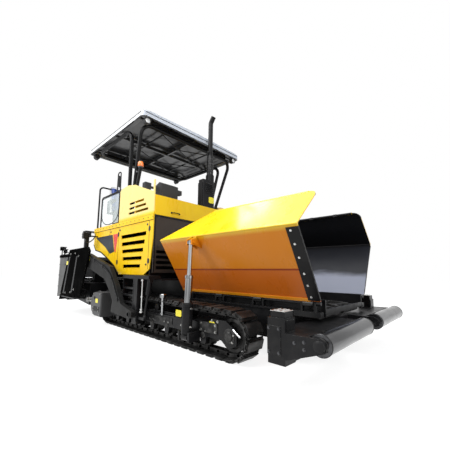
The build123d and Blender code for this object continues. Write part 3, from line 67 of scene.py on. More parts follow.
# %% [markdown]
# ## Camera
#
# A low standpoint near the right front corner makes the hopper look large and the rear fall away.
# The eye height and the short focal length matter more than anything else here, so they are
# written as plain numbers, and the view direction as a turn, a tilt and a small roll.

# %% Set the camera
EYE = Vector((4.44, -3.607, 1.042))
TURN, TILT, ROLL = (math.radians(a) for a in (43.827, 6.957, 0.69))
SENSOR_WIDTH, FOCAL_LENGTH = 36, 21.14      # mm
SHIFT_X, SHIFT_Y = 0.0101, 0.0333           # of the frame's width


def look(turn, tilt, roll):
    """Rotation of a camera that looks along +Y, turned left, tilted up and rolled."""
    forward = Vector((-math.sin(turn) * math.cos(tilt), math.cos(turn) * math.cos(tilt), math.sin(tilt)))
    right = Vector((math.cos(turn), math.sin(turn), 0))
    up = right.cross(forward)
    rolled = right * math.cos(roll) + up * math.sin(roll)
    return Matrix((rolled, rolled.cross(forward), -forward)).transposed()


camera = bpy.data.objects.new("camera", bpy.data.cameras.new("camera"))
bpy.context.collection.objects.link(camera)
camera.data.sensor_width, camera.data.lens = SENSOR_WIDTH, FOCAL_LENGTH
camera.data.shift_x, camera.data.shift_y = SHIFT_X, SHIFT_Y
camera.matrix_world = Matrix.Translation(EYE) @ look(TURN, TILT, ROLL).to_4x4()
bpy.context.scene.camera = camera
print("camera at", [round(v, 2) for v in EYE])

# %% [markdown]
# ## Studio
#
# Outdoors such a machine is lit by the whole sky.  One very large lamp overhead and three
# round it do the same job in a studio: they give long, soft highlights on the folded panels.  The
# floor and the world are white to the camera and to reflections only, so the ground stays
# clean while the shade under the tracks remains.

# %% Build the world
bpy.context.scene.view_settings.view_transform = "Standard"


def seen_by_eye(tree):
    """1 for rays that reach the eye directly, by reflection or through glass."""
    path = tree.nodes.new("ShaderNodeLightPath")
    total = None
    for ray in ("Is Camera Ray", "Is Glossy Ray", "Is Transmission Ray"):
        if total is None:
            total = path.outputs[ray]
            continue
        larger = tree.nodes.new("ShaderNodeMath")
        larger.operation = "MAXIMUM"
        tree.links.new(total, larger.inputs[0])
        tree.links.new(path.outputs[ray], larger.inputs[1])
        total = larger.outputs[0]
    return total


def make_world(light):
    """White where it is seen, and soft grey-white as a source of light."""
    world = bpy.data.worlds.new("studio")
    world.use_nodes = True
    bpy.context.scene.world = world
    tree = world.node_tree
    tree.nodes.clear()
    out, mix, soft, white = (tree.nodes.new(k) for k in (
        "ShaderNodeOutputWorld", "ShaderNodeMixShader", "ShaderNodeBackground", "ShaderNodeBackground"))
    soft.inputs["Color"].default_value = (0.93, 0.96, 1.0, 1)
    soft.inputs["Strength"].default_value = light
    white.inputs["Color"].default_value = (1, 1, 1, 1)
    tree.links.new(seen_by_eye(tree), mix.inputs["Fac"])
    tree.links.new(soft.outputs[0], mix.inputs[1])
    tree.links.new(white.outputs[0], mix.inputs[2])
    tree.links.new(mix.outputs[0], out.inputs["Surface"])


WORLD_LIGHT = 0.5
make_world(WORLD_LIGHT)
print("world light", WORLD_LIGHT)


# %% Lay the floor
def make_floor(lift):
    """A wide plain floor; the glow that is added to it hides the horizon and keeps the shade."""
    mesh = bpy.data.meshes.new("floor")
    reach = 60      # metres, far enough that the edge is never seen
    mesh.from_pydata([(-reach, -reach, 0), (reach, -reach, 0), (reach, reach, 0), (-reach, reach, 0)],
                     [], [(0, 1, 2, 3)])
    floor = bpy.data.objects.new("floor", mesh)
    bpy.context.collection.objects.link(floor)
    material = bpy.data.materials.new("studio floor")
    material.use_nodes = True
    tree = material.node_tree
    tree.nodes.clear()
    out, add, matt, glow, scale = (tree.nodes.new(k) for k in (
        "ShaderNodeOutputMaterial", "ShaderNodeAddShader", "ShaderNodeBsdfDiffuse",
        "ShaderNodeEmission", "ShaderNodeMath"))
    matt.inputs["Color"].default_value = (0.34, 0.34, 0.335, 1)
    scale.operation = "MULTIPLY"
    scale.inputs[1].default_value = lift
    tree.links.new(seen_by_eye(tree), scale.inputs[0])
    tree.links.new(scale.outputs[0], glow.inputs["Strength"])
    tree.links.new(matt.outputs[0], add.inputs[0])
    tree.links.new(glow.outputs[0], add.inputs[1])
    tree.links.new(add.outputs[0], out.inputs["Surface"])
    mesh.materials.append(material)


FLOOR_GLOW = 0.84
make_floor(FLOOR_GLOW)
print("floor glow", FLOOR_GLOW)

# %% Hang the lamps
# (name, place, point it faces, width, power)
LAMPS = (
    ("overhead softbox", (1.0, -2.5, 8.5), (0.3, 0, 1.0), 7.0, 760),
    ("rear softbox", (-4.5, 3.6, 8.2), (2.0, -0.6, 1.6), 5.0, 260),
    ("front softbox", (8.5, -2.0, 5.2), (1.5, 0, 1.2), 5.0, 250),
    ("side softbox", (-2.5, -9.0, 6.5), (0, 0, 1.6), 6.0, 640),
)


def make_lamps():
    """Round area lamps, each turned to its target."""
    for name, place, target, width, power in LAMPS:
        lamp = bpy.data.lights.new(name, "AREA")
        lamp.shape, lamp.size, lamp.energy = "DISK", width, power
        holder = bpy.data.objects.new(name, lamp)
        bpy.context.collection.objects.link(holder)
        holder.location = place
        holder.rotation_mode = "QUATERNION"
        holder.rotation_quaternion = (Vector(target) - Vector(place)).to_track_quat("-Z", "Y")


make_lamps()
print("lamps", len(LAMPS))

# %% [markdown]
# ## Finishes
#
# Painted steel is never one flat colour: the sprayed coat has a fine orange-peel skin, low
# panels gather dust, and corners wear.  Each finish is made of the same few ingredients read from
# the object's own coordinates, so it stays on the steel when a wing or the screed moves.  An
# image would have to be unwrapped for every plate; a rule needs none.

# %% Helpers for node trees
def add_node(tree, kind, values=None, **settings):
    """A node with its properties set by name and its inputs set from a small table."""
    made = tree.nodes.new(kind)
    for key, value in settings.items():
        setattr(made, key, value)
    for key, value in (values or {}).items():
        made.inputs[key].default_value = value
    return made


def join(tree, *pairs):
    """Link each (output, input) pair."""
    for source, target in pairs:
        tree.links.new(source, target)


print("node helpers ready")

# %% [markdown]
# ### Ingredients
#
# Each ingredient is a function that adds its few nodes to a tree and returns the resulting socket.

# %% Ingredients of a finish
def place_on(tree):
    """The object's own coordinates."""
    return add_node(tree, "ShaderNodeTexCoord").outputs["Object"]


def grain(tree, scale, detail=3.0, stretch=(1, 1, 1)):
    """Noise from 0 to 1 at a scale in cycles a metre."""
    mapping = add_node(tree, "ShaderNodeMapping", {"Scale": stretch})
    noise = add_node(tree, "ShaderNodeTexNoise", {"Scale": scale, "Detail": detail})
    join(tree, (place_on(tree), mapping.inputs["Vector"]), (mapping.outputs[0], noise.inputs["Vector"]))
    return noise.outputs["Fac"]


print("noise ready")


# %% Ranges, sums and tints
def spread(tree, value, low, high, to_low=0.0, to_high=1.0):
    """Map low..high to to_low..to_high, held at both ends."""
    ranged = add_node(tree, "ShaderNodeMapRange", {1: low, 2: high, 3: to_low, 4: to_high})
    join(tree, (value, ranged.inputs[0]))
    return ranged.outputs[0]


def feed(tree, *pairs):
    """Lead each number or socket into its input."""
    for value, target in pairs:
        if isinstance(value, (int, float)):
            target.default_value = value
        else:
            join(tree, (value, target))


def times(tree, a, b, operation="MULTIPLY"):
    """Product, or another sum, of two sockets or numbers."""
    node = add_node(tree, "ShaderNodeMath", operation=operation)
    feed(tree, (a, node.inputs[0]), (b, node.inputs[1]))
    return node.outputs[0]


print("sums ready")


# %% Tints and places
def tint(tree, factor, a, b):
    """Colour a where the factor is 0, colour b where it is 1."""
    mix = add_node(tree, "ShaderNodeMix", data_type="RGBA")
    join(tree, (factor, mix.inputs[0]))
    for slot, colour in ((6, a), (7, b)):
        if isinstance(colour, tuple):
            mix.inputs[slot].default_value = (*colour, 1)
        else:
            join(tree, (colour, mix.inputs[slot]))
    return mix.outputs[2]


def coordinate(tree, axis):
    """One of the object's own coordinates."""
    split = add_node(tree, "ShaderNodeSeparateXYZ")
    join(tree, (place_on(tree), split.inputs[0]))
    return split.outputs[axis]


def height(tree):
    """Height over the ground."""
    return coordinate(tree, 2)


print("tints and places ready")


# %% Wear, relief and the shader itself
def edge_wear(tree, radius):
    """Near 1 on sharp corners: where the normal of a rounded edge leaves the flat one."""
    rounded = add_node(tree, "ShaderNodeBevel", {"Radius": radius}, samples=3)
    flat = add_node(tree, "ShaderNodeNewGeometry")
    dot = add_node(tree, "ShaderNodeVectorMath", operation="DOT_PRODUCT")
    join(tree, (rounded.outputs[0], dot.inputs[0]), (flat.outputs["Normal"], dot.inputs[1]))
    return spread(tree, dot.outputs["Value"], 0.97, 0.75)


def start(name):
    """A new material; returns it, its tree and its shader."""
    material = bpy.data.materials.new(name)
    material.use_nodes = True
    return material, material.node_tree, material.node_tree.nodes["Principled BSDF"]


def preset(shader, values):
    """Set the sockets that are the same all over a finish."""
    for key, value in values.items():
        shader.inputs[key].default_value = value


def coat_with(tree, shader, colour, rough):
    """Lead a colour and a roughness into the shader."""
    join(tree, (colour, shader.inputs["Base Color"]), (rough, shader.inputs["Roughness"]))


def skin_bump(tree, shader, value, strength, distance, soft_edge=0.0):
    """Relief from a value, on edges softened by a small radius."""
    bump = add_node(tree, "ShaderNodeBump", {"Strength": strength, "Distance": distance})
    join(tree, (value, bump.inputs["Height"]), (bump.outputs[0], shader.inputs["Normal"]))
    if soft_edge:
        rounded = add_node(tree, "ShaderNodeBevel", {"Radius": soft_edge}, samples=3)
        join(tree, (rounded.outputs[0], bump.inputs["Normal"]))


DUST = (0.24, 0.23, 0.215)
BARE_STEEL = (0.42, 0.42, 0.41)
print("ingredients ready")

# %% [markdown]
# ### Sprayed paint
#
# One recipe serves the yellow, black, grey and white coats.  Broad clouds shift the colour by a
# few percent, dust gathers low down, corners wear to bare steel, and the fine skin is a bump.

# %% Make the paints
def paint(name, colour, shade, rough, coat, dust, worn, shine=0.5):
    """Satin or gloss coat; rough is (lowest, highest) roughness, dust and worn their most."""
    material, tree, shader = start(name)
    cloud = spread(tree, grain(tree, 1.7), 0.35, 0.68)
    low_down = spread(tree, height(tree), 0.95, 0.05)
    dusty = times(tree, times(tree, low_down, spread(tree, grain(tree, 9, 5), 0.42, 0.72)), dust)
    chips = times(tree, times(tree, edge_wear(tree, 0.006), spread(tree, grain(tree, 34, 4), 0.52, 0.62)),
                  worn)
    base = tint(tree, cloud, colour, shade)
    base = tint(tree, dusty, base, DUST)
    smear = spread(tree, grain(tree, 5, 4, (1, 1, 0.3)), 0.35, 0.7, rough[0], rough[1])
    coat_with(tree, shader, tint(tree, chips, base, BARE_STEEL),
              times(tree, smear, times(tree, dusty, 0.4), "ADD"))
    preset(shader, {"Specular IOR Level": shine, "Coat Weight": coat, "Coat Roughness": 0.12})
    skin_bump(tree, shader, grain(tree, 420, 1), 0.05, 0.002, 0.004)
    return material


YELLOW = paint("machine yellow", (0.92, 0.60, 0.010), (0.88, 0.52, 0.008), (0.24, 0.38),
               coat=0.12, dust=0.12, worn=0.35, shine=0.22)
BLACK = paint("frame black", (0.005, 0.005, 0.0055), (0.009, 0.009, 0.010), (0.28, 0.44),
              coat=0.0, dust=0.06, worn=0.3, shine=0.16)
ARM_GREY = paint("arm grey", (0.007, 0.007, 0.007), (0.011, 0.011, 0.011), (0.34, 0.48),
                 coat=0.0, dust=0.06, worn=0.3, shine=0.10)
END_BLACK = paint("screed black", (0.003, 0.003, 0.003), (0.006, 0.006, 0.006), (0.50, 0.65),
                  coat=0.0, dust=0.06, worn=0.4, shine=0.0)
GRILLE_GREY = paint("grille grey", (0.045, 0.034, 0.028), (0.055, 0.042, 0.034), (0.45, 0.6),
                    coat=0.0, dust=0.1, worn=0.2, shine=0.2)
HEM_ORANGE = paint("hem orange", (0.85, 0.33, 0.008), (0.80, 0.28, 0.007), (0.3, 0.42),
                   coat=0.1, dust=0.1, worn=0.2, shine=0.3)
# colour of the strip along the wing's crease: painted shade in the fold
CREASE_PAINTED_SHADE = paint("crease painted shade", (0.30, 0.045, 0.010), (0.26, 0.040, 0.009), (0.4, 0.5),
                     coat=0.0, dust=0.1, worn=0.1, shine=0.2)
SCREED_GREY = paint("screed grey", (0.060, 0.060, 0.060), (0.040, 0.040, 0.041), (0.36, 0.55),
                    coat=0.05, dust=0.2, worn=0.4, shine=0.35)
ROOF_WHITE = paint("roof white", (0.78, 0.80, 0.82), (0.71, 0.73, 0.76), (0.3, 0.42),
                   coat=0.3, dust=0.0, worn=0.1)
print("paints", 9)

# %% [markdown]
# ### Steel that works
#
# Hopper sheets, slats, rollers and augers are rubbed bright by the mix.  The rubbing runs one
# way, so the noise is stretched along it, and a dark film of bitumen stays between the streaks.

# %% Make the bare metals
def bare_metal(name, bright, dark, rough, stretch, film=0.5, scale=14):
    """Worn steel: bright streaks, dark film in patches, scratches as a bump."""
    material, tree, shader = start(name)
    streak = spread(tree, grain(tree, scale, 6, stretch), 0.4, 0.62)
    patch = times(tree, spread(tree, grain(tree, 2.6, 3), 0.45, 0.62), film)
    base = tint(tree, streak, dark, bright)
    coat_with(tree, shader, tint(tree, patch, base, dark), spread(tree, grain(tree, 6, 5), 0.3, 0.7, *rough))
    preset(shader, {"Metallic": 0.85})
    skin_bump(tree, shader, grain(tree, 60, 6, stretch), 0.18, 0.003, 0.003)
    return material


def smooth_metal(name, colour, rough, film=0.1, scale=8, stretch=(1, 1, 1)):
    """Plated or machined steel under a thin film of oil that darkens it by a share."""
    material, tree, shader = start(name)
    trace = spread(tree, grain(tree, scale, 4, stretch), 0.36, 0.62)
    coat_with(tree, shader, tint(tree, trace, colour, tuple((1 - film) * c for c in colour)),
              spread(tree, grain(tree, 22, 4), 0.3, 0.7, *rough))
    preset(shader, {"Metallic": 1.0})
    return material


WORN_STEEL = bare_metal("worn steel", (0.52, 0.52, 0.51), (0.17, 0.165, 0.16), (0.28, 0.5), (1, 1, 0.15))
OILED_STEEL = bare_metal("oiled steel", (0.13, 0.13, 0.13), (0.04, 0.039, 0.038), (0.4, 0.62), (0.3, 1, 1))
ROLLER_STEEL = bare_metal("roller steel", (0.085, 0.086, 0.09), (0.035, 0.035, 0.037), (0.14, 0.25),
                          (1, 0.1, 1))
CHROME = smooth_metal("hard chrome", (0.62, 0.63, 0.64), (0.10, 0.20), film=0.72, scale=34,
                      stretch=(1, 1, 0.03))
ZINC = smooth_metal("zinc plate", (0.30, 0.30, 0.29), (0.3, 0.45))
BRIGHT_ZINC = smooth_metal("bright zinc", (0.60, 0.60, 0.59), (0.25, 0.4))
DARK_BOLT = smooth_metal("blackened bolt", (0.08, 0.08, 0.085), (0.35, 0.5))
TRACK_STEEL = bare_metal("track steel", (0.062, 0.061, 0.060), (0.019, 0.019, 0.019), (0.45, 0.65),
                         (1, 0.3, 1))
print("metals", 8)

# %% [markdown]
# ### Plastic and glass
#
# Moulded plastic has a leather-like pebble.  Lenses have moulded ribs.  Glass is thin and faintly
# green with a few wiped streaks.

# %% Make plastic, glass and lenses
def plastic(name, colour, rough=(0.42, 0.6), pebble=0.15):
    """Moulded plastic with a pebbled skin."""
    material, tree, shader = start(name)
    cloud = spread(tree, grain(tree, 4), 0.3, 0.7)
    coat_with(tree, shader, tint(tree, cloud, colour, tuple(0.82 * c for c in colour)),
              spread(tree, grain(tree, 50, 4), 0.3, 0.7, *rough))
    cells = add_node(tree, "ShaderNodeTexVoronoi", {"Scale": 520.0})
    join(tree, (place_on(tree), cells.inputs["Vector"]))
    skin_bump(tree, shader, cells.outputs["Distance"], pebble, 0.001, 0.002)
    return material


def lens(name, colour, rough=(0.05, 0.12), glow=0.0):
    """Clear or tinted lens with moulded ribs across it."""
    material, tree, shader = start(name)
    ribs = add_node(tree, "ShaderNodeTexWave", {"Scale": 26.0, "Distortion": 0.0})
    join(tree, (place_on(tree), ribs.inputs["Vector"]))
    mottle = spread(tree, grain(tree, 18), 0.3, 0.7)
    coat_with(tree, shader, tint(tree, mottle, colour, tuple(0.85 * c for c in colour)),
              spread(tree, grain(tree, 40), 0.3, 0.7, *rough))
    preset(shader, {"Coat Weight": 0.8, "Emission Color": (*colour, 1), "Emission Strength": glow})
    skin_bump(tree, shader, ribs.outputs["Fac"], 0.25, 0.002)
    return material


def pane_glass(name):
    """Thin safety glass: mostly clear, with a green cast and streaks left by a cloth."""
    material, tree, shader = start(name)
    streak = spread(tree, grain(tree, 7, 5, (1, 1, 0.2)), 0.4, 0.7)
    coat_with(tree, shader, tint(tree, streak, (0.86, 0.93, 0.91), (0.78, 0.86, 0.86)),
              spread(tree, streak, 0, 1, 0.03, 0.14))
    join(tree, (spread(tree, streak, 0, 1, 0.28, 0.42), shader.inputs["Alpha"]))
    preset(shader, {"IOR": 1.5})
    return material


DARK_PLASTIC = plastic("console plastic", (0.022, 0.022, 0.024))
GREY_PLASTIC = plastic("grey plastic", (0.20, 0.205, 0.21))
CLEAR_LENS = lens("clear lens", (0.86, 0.88, 0.9), glow=0.05)
ORANGE_LENS = lens("orange lens", (0.95, 0.22, 0.02), glow=0.15)
GLASS = pane_glass("pane glass")
print("plastic and glass", 5)

# %% [markdown]
# ### The hopper wing
#
# One folded plate carries several colours.  Outside it is yellow down to the fold; below the fold,
# where the panel turns under, orange is painted shade, deeper below the crease where the panel
# faces further down.  Inside it is black, with a blue-grey rub low down, where the mix slides.  The
# plate is one piece, so the material decides by place: the sign of the normal across the machine
# tells inside from outside.

# %% Tell the wing's sides apart
WING_FOLD, CREASE = 1.50, 1.088             # heights of the two bends outside
HINGE_OUT, HINGE_UP = 0.74, 0.71            # hinge line: from the middle, over the ground
# the two orange tones are painted shade on the yellow: below the fold the outside faces down, below the
# crease further down
SHADE_AMBER, DEEP_SHADE_AMBER = (0.72, 0.205, 0.005), (0.56, 0.100, 0.010)
RUB_DARK, RUB_BRIGHT = (0.014, 0.015, 0.019), (0.21, 0.225, 0.28)
LINING_BLACK, GREASE = (0.007, 0.007, 0.008), (0.012, 0.012, 0.012)


def outboard(tree):
    """Distance from the machine's middle line."""
    return times(tree, coordinate(tree, 1), 0.0, "ABSOLUTE")


def place_and_face(tree):
    """Where a point is and which way its face looks, each as x, y and z."""
    coordinates = add_node(tree, "ShaderNodeTexCoord")
    place, face = (add_node(tree, "ShaderNodeSeparateXYZ") for _ in range(2))
    join(tree, (coordinates.outputs["Object"], place.inputs[0]),
         (coordinates.outputs["Normal"], face.inputs[0]))
    return place, face


def inward(tree):
    """1 where a face looks towards the machine's middle line."""
    place, face = place_and_face(tree)
    return spread(tree, times(tree, place.outputs[1], face.outputs[1]), -0.02, -0.05)


print("wing's sides told apart")


# %% Mix the wing's finish
def wing_finish():
    """Yellow outside with painted shade in orange below the fold; black inside with a rub low down; greased
    sleeves.
    """
    material = YELLOW.copy()
    material.name = "hopper wing"
    tree, shader = material.node_tree, material.node_tree.nodes["Principled BSDF"]
    painted = shader.inputs["Base Color"].links[0].from_socket
    coarse = shader.inputs["Roughness"].links[0].from_socket
    inside = inward(tree)
    above = spread(tree, height(tree), WING_FOLD - 0.02, WING_FOLD + 0.02)
    # painted shade: the outside turns orange below the fold, deeper orange below the crease
    shade_below_fold = spread(tree, height(tree), WING_FOLD + 0.025, WING_FOLD - 0.03, 0.0, 0.92)
    painted_shade = tint(tree, spread(tree, height(tree), CREASE + 0.01, CREASE - 0.01), SHADE_AMBER, DEEP_SHADE_AMBER)
    outside = tint(tree, shade_below_fold, painted, painted_shade)
    streak = spread(tree, grain(tree, 5, 4, (0.3, 1, 1)), 0.36, 0.68)
    low_rub = spread(tree, times(tree, height(tree), times(tree, streak, 0.06), "ADD"), 1.12, 1.02)
    rubbed = tint(tree, low_rub, RUB_DARK, RUB_BRIGHT)
    lining = tint(tree, above, rubbed, LINING_BLACK)
    # the hinge's sleeves turn in grease: dark in a small circle round the hinge line
    from_pin = times(tree, times(tree, times(tree, outboard(tree), -HINGE_OUT, "ADD"), 2, "POWER"),
                     times(tree, times(tree, height(tree), -HINGE_UP, "ADD"), 2, "POWER"), "ADD")
    greased = tint(tree, spread(tree, from_pin, 0.0019, 0.0017), outside, GREASE)
    join(tree, (tint(tree, inside, greased, lining), shader.inputs["Base Color"]),
         (times(tree, coarse, times(tree, inside, 0.06), "ADD"), shader.inputs["Roughness"]),
         (times(tree, spread(tree, height(tree), WING_FOLD - 0.03, WING_FOLD + 0.03, 0.02, 0.55),
                spread(tree, inside, 0.0, 1.0, 1.0, 0.05)), shader.inputs["Coat Weight"]),
         (spread(tree, inside, 0.0, 1.0, 0.28, 0.10), shader.inputs["Specular IOR Level"]))
    return material


WING = wing_finish()
print("wing finish", WING.name)

# %% [markdown]
# ### Drive cover and side bodies
#
# The cover over the final drive is grey though the frame it is welded to is black.  On the upper
# side panel the yellow is blended towards a warm cream above the band: a painted sheen of the light
# from above.  Each pair is one solid, so again the place decides: behind a line along the machine,
# or above a height.

# %% Split a paint by place
def split_finish(name, base, other, factor_of):
    """A copy of one paint whose colour gives way to another where the factor is 1."""
    material = base.copy()
    material.name = name
    tree, shader = material.node_tree, material.node_tree.nodes["Principled BSDF"]
    first = shader.inputs["Base Color"].links[0].from_socket
    join(tree, (tint(tree, factor_of(tree), first, other), shader.inputs["Base Color"]))
    return material


FRAME_FINISH = split_finish("frame and cover", BLACK, (0.062, 0.062, 0.063), lambda tree: times(
    tree, spread(tree, coordinate(tree, 0), -0.64, -0.66), spread(tree, outboard(tree), 1.26, 1.265)))
# above 2.05-2.10 m the side body's yellow is blended three quarters of the way to cream: painted sheen of the
# light from above
BODY = split_finish("side body", YELLOW, (0.88, 0.74, 0.34), lambda tree: times(
    tree, spread(tree, height(tree), 2.05, 2.10), 0.75))
print("split finishes", 2)

# %% [markdown]
# ### Dressing the solids
#
# One table names every solid next to its finish, and what the table leaves out is printed.

# %% Give every solid its finish
FINISHES = (
    (BODY, ("side_body_right", "side_body_left")),
    (YELLOW, ("front_hood", "hood_lid_right", "hood_lid_left")),
    (WING, ("hopper_wing_right", "hopper_wing_left")),
    (BLACK, ("chassis", "wing_hinges", "push_beam", "deck", "handrails", "canopy_hoops",
             "exhaust", "tow_posts", "wing_barrel_right", "wing_barrel_left", "lift_barrels",
             "screed_frame")),
    (GRILLE_GREY, ("front_grille",)),
    (END_BLACK, ("end_plate_right", "end_plate_left")),
    (ARM_GREY, ("tow_arms",)),
    (FRAME_FINISH, ("track_frames",)),
    (SCREED_GREY, ("screed_extension_right", "screed_extension_left", "walkway_right", "walkway_left")),
    (ROOF_WHITE, ("canopy_roof",)),
    (TRACK_STEEL, ("track_right", "track_left", "track_wheels")),
    (OILED_STEEL, ("conveyors", "engine_block")),
    (WORN_STEEL, ("auger_right", "auger_left")),
    (ROLLER_STEEL, ("push_roller_right", "push_roller_left")),
    (CHROME, ("wing_rod_right", "wing_rod_left", "wing_stage_right", "wing_stage_left", "lift_rods",
              "screed_guides")),
    (DARK_PLASTIC, ("stations", "work_lamps", "seat_pads")),
    (GLASS, ("wind_glass",)),
)


def dress(name, material):
    """Give a solid one finish in place of its own."""
    slots = nodes[name].data.materials
    slots.clear()
    slots.append(material)


for material, names in FINISHES:
    for name in names:
        dress(name, material)
left_plain = set(nodes) - {name for _, names in FINISHES for name in names}
print("dressed", len(nodes) - len(left_plain), "left", sorted(left_plain))

# %% [markdown]
# ## Tools for making pieces
#
# Three ways of making cover this machine.  Plates and housings are folded or milled, so they are
# built from bevelled slabs and prisms in mesh code.  Tubes are bent pipe, so a curve with a
# round section makes them.  What repeats, such as bolts, shoes, studs and stitches, grows from a
# Geometry Nodes tree, where one number changes them all.

# %% Build plates and turned parts
def hand_over(name, mesh, body, material=None):
    """Make a mesh a piece of the machine: it rides on a body and belongs to a finish slot."""
    piece = bpy.data.objects.new(name, mesh)
    bpy.context.collection.objects.link(piece)
    if material:
        mesh.materials.append(material)
    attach(piece, body)
    return piece


def close(shape, name, body, material, smooth=True):
    """End a shape made in mesh code: tidy its normals and hand it over."""
    bmesh.ops.remove_doubles(shape, verts=shape.verts, dist=1e-6)
    bmesh.ops.recalc_face_normals(shape, faces=shape.faces)
    mesh = bpy.data.meshes.new(name)
    shape.to_mesh(mesh)
    shape.free()
    if smooth:
        mesh.shade_smooth()
        mesh.set_sharp_from_angle(angle=math.radians(35))
    return hand_over(name, mesh, body, material)


def slab(shape, low, high, bevel=0.003):
    """Bevelled box between two corners."""
    low, high = ([f(a, b) for a, b in zip(low, high)] for f in (min, max))
    middle = Vector([(a + b) / 2 for a, b in zip(low, high)])
    size = Matrix.Diagonal([b - a for a, b in zip(low, high)]).to_4x4()
    made = bmesh.ops.create_cube(shape, size=1, matrix=Matrix.Translation(middle) @ size)["verts"]
    edges = list(dict.fromkeys(edge for vert in made for edge in vert.link_edges))
    bmesh.ops.bevel(shape, geom=edges, offset=bevel, segments=2, affect="EDGES", clamp_overlap=True)


print("boxes ready")


# %% Extrude, turn and follow a line
def prism(shape, outline, axis, near, far, bevel=0.0):
    """Closed outline in the plane across an axis (0 x, 1 y, 2 z), extruded from near to far."""
    near, far = min(near, far), max(near, far)
    rings = []
    for level in (near, far):
        ring = []
        for u, v in outline:
            place = [u, v]
            place.insert(axis, level)
            ring.append(shape.verts.new(place))
        rings.append(ring)
    faces = [shape.faces.new(rings[0]), shape.faces.new(rings[1][::-1])]
    for i in range(len(outline)):
        j = (i + 1) % len(outline)
        faces.append(shape.faces.new((rings[0][i], rings[1][i], rings[1][j], rings[0][j])))
    if bevel:
        edges = list(dict.fromkeys(edge for face in faces[:2] for edge in face.edges))
        bmesh.ops.bevel(shape, geom=edges, offset=bevel, segments=2, affect="EDGES", clamp_overlap=True)


def turned(shape, profile, centre, direction, sides=28):
    """Part turned on a lathe: (radius, place along the axis) pairs, closed where the radius is 0."""
    turn = Vector(direction).to_track_quat("Z", "Y").to_matrix().to_4x4()
    place = Matrix.Translation(Vector(centre)) @ turn
    rings = []
    for radius, along in profile:
        count = 1 if radius == 0 else sides
        rings.append([shape.verts.new(place @ Vector((radius * math.cos(math.tau * k / sides),
                                                      radius * math.sin(math.tau * k / sides), along)))
                      for k in range(count)])
    for low, high in zip(rings, rings[1:]):
        for k in range(sides):
            corners = [low[k % len(low)], low[(k + 1) % len(low)], high[(k + 1) % len(high)],
                       high[k % len(high)]]
            unique = list(dict.fromkeys(corners))
            if len(unique) > 2:
                shape.faces.new(unique)


def strip_line(points, rise, thick):
    """Outline of a flat strip that lies rise above a folded line and is this thick."""
    sides = [Vector((b[1] - a[1], a[0] - b[0])).normalized() for a, b in zip(points, points[1:])]
    low, high = [], []
    for i, point in enumerate(points):
        joint = sides[max(i - 1, 0)] + sides[min(i, len(sides) - 1)]
        reach = joint * (2 / joint.length_squared)
        low.append(Vector(point) + reach * rise)
        high.append(Vector(point) + reach * (rise + thick))
    return [tuple(p) for p in low + high[::-1]]


print("plate tools ready")

# %% [markdown]
# ### Bent pipe
#
# A rail or a pipe is bent smoothly between straight runs.  A curve with a round section does it
# from the corner points alone.

# %% Bend tubes
def tube(shape, points, radius, closed=False, sides=4):
    """Rigid pipe through the points, bent smoothly between them, with closed ends."""
    curve = bpy.data.curves.new("pipe run", "CURVE")
    curve.dimensions, curve.resolution_u = "3D", 5
    curve.bevel_depth, curve.bevel_resolution, curve.use_fill_caps = radius, sides, True
    spline = curve.splines.new("NURBS")
    spline.points.add(len(points) - 1)
    for slot, place in zip(spline.points, points):
        slot.co = (*place, 1)
    spline.order_u, spline.use_endpoint_u, spline.use_cyclic_u = 3, not closed, closed
    holder = bpy.data.objects.new("pipe run", curve)
    mesh = bpy.data.meshes.new_from_object(holder)
    shape.from_mesh(mesh)
    for block, data in ((bpy.data.objects, holder), (bpy.data.meshes, mesh), (bpy.data.curves, curve)):
        block.remove(data)


print("tube tool ready")

# %% [markdown]
# ### Rules that grow pieces
#
# A Geometry Nodes tree takes points from a small carrier mesh and puts one made part on each.
# The carrier says where and which way; the tree says what.  Every tree has its sizes as named
# inputs, ends in Realize Instances and Set Material, and is turned into a plain mesh at once.

# %% Helpers for Geometry Nodes
def new_rule(name, inputs):
    """An empty tree with a geometry socket, these float inputs and a material input."""
    tree = bpy.data.node_groups.new(name, "GeometryNodeTree")
    tree.interface.new_socket("Geometry", in_out="INPUT", socket_type="NodeSocketGeometry")
    for label in inputs:
        tree.interface.new_socket(label, in_out="INPUT", socket_type="NodeSocketFloat")
    tree.interface.new_socket("Finish", in_out="INPUT", socket_type="NodeSocketMaterial")
    tree.interface.new_socket("Geometry", in_out="OUTPUT", socket_type="NodeSocketGeometry")
    return tree, tree.nodes.new("NodeGroupInput").outputs


def end_rule(tree, source, geometry):
    """Realize the instances, set the material and lead the result out."""
    real = add_node(tree, "GeometryNodeRealizeInstances")
    coat = add_node(tree, "GeometryNodeSetMaterial")
    out = tree.nodes.new("NodeGroupOutput")
    join(tree, (geometry, real.inputs[0]), (real.outputs[0], coat.inputs["Geometry"]),
         (source["Finish"], coat.inputs["Material"]), (coat.outputs[0], out.inputs[0]))


def vector_of(tree, x=0.0, y=0.0, z=0.0):
    """A vector from three sockets or numbers."""
    node = add_node(tree, "ShaderNodeCombineXYZ")
    feed(tree, *zip((x, y, z), node.inputs))
    return node.outputs[0]


print("rule frame ready")


# %% Parts that a rule can put down
def box_part(tree, size, middle):
    """A box in a tree, of a size and at a place given as vectors."""
    box = add_node(tree, "GeometryNodeMeshCube")
    move = add_node(tree, "GeometryNodeTransform")
    join(tree, (size, box.inputs["Size"]), (box.outputs[0], move.inputs[0]),
         (middle, move.inputs["Translation"]))
    return move.outputs[0]


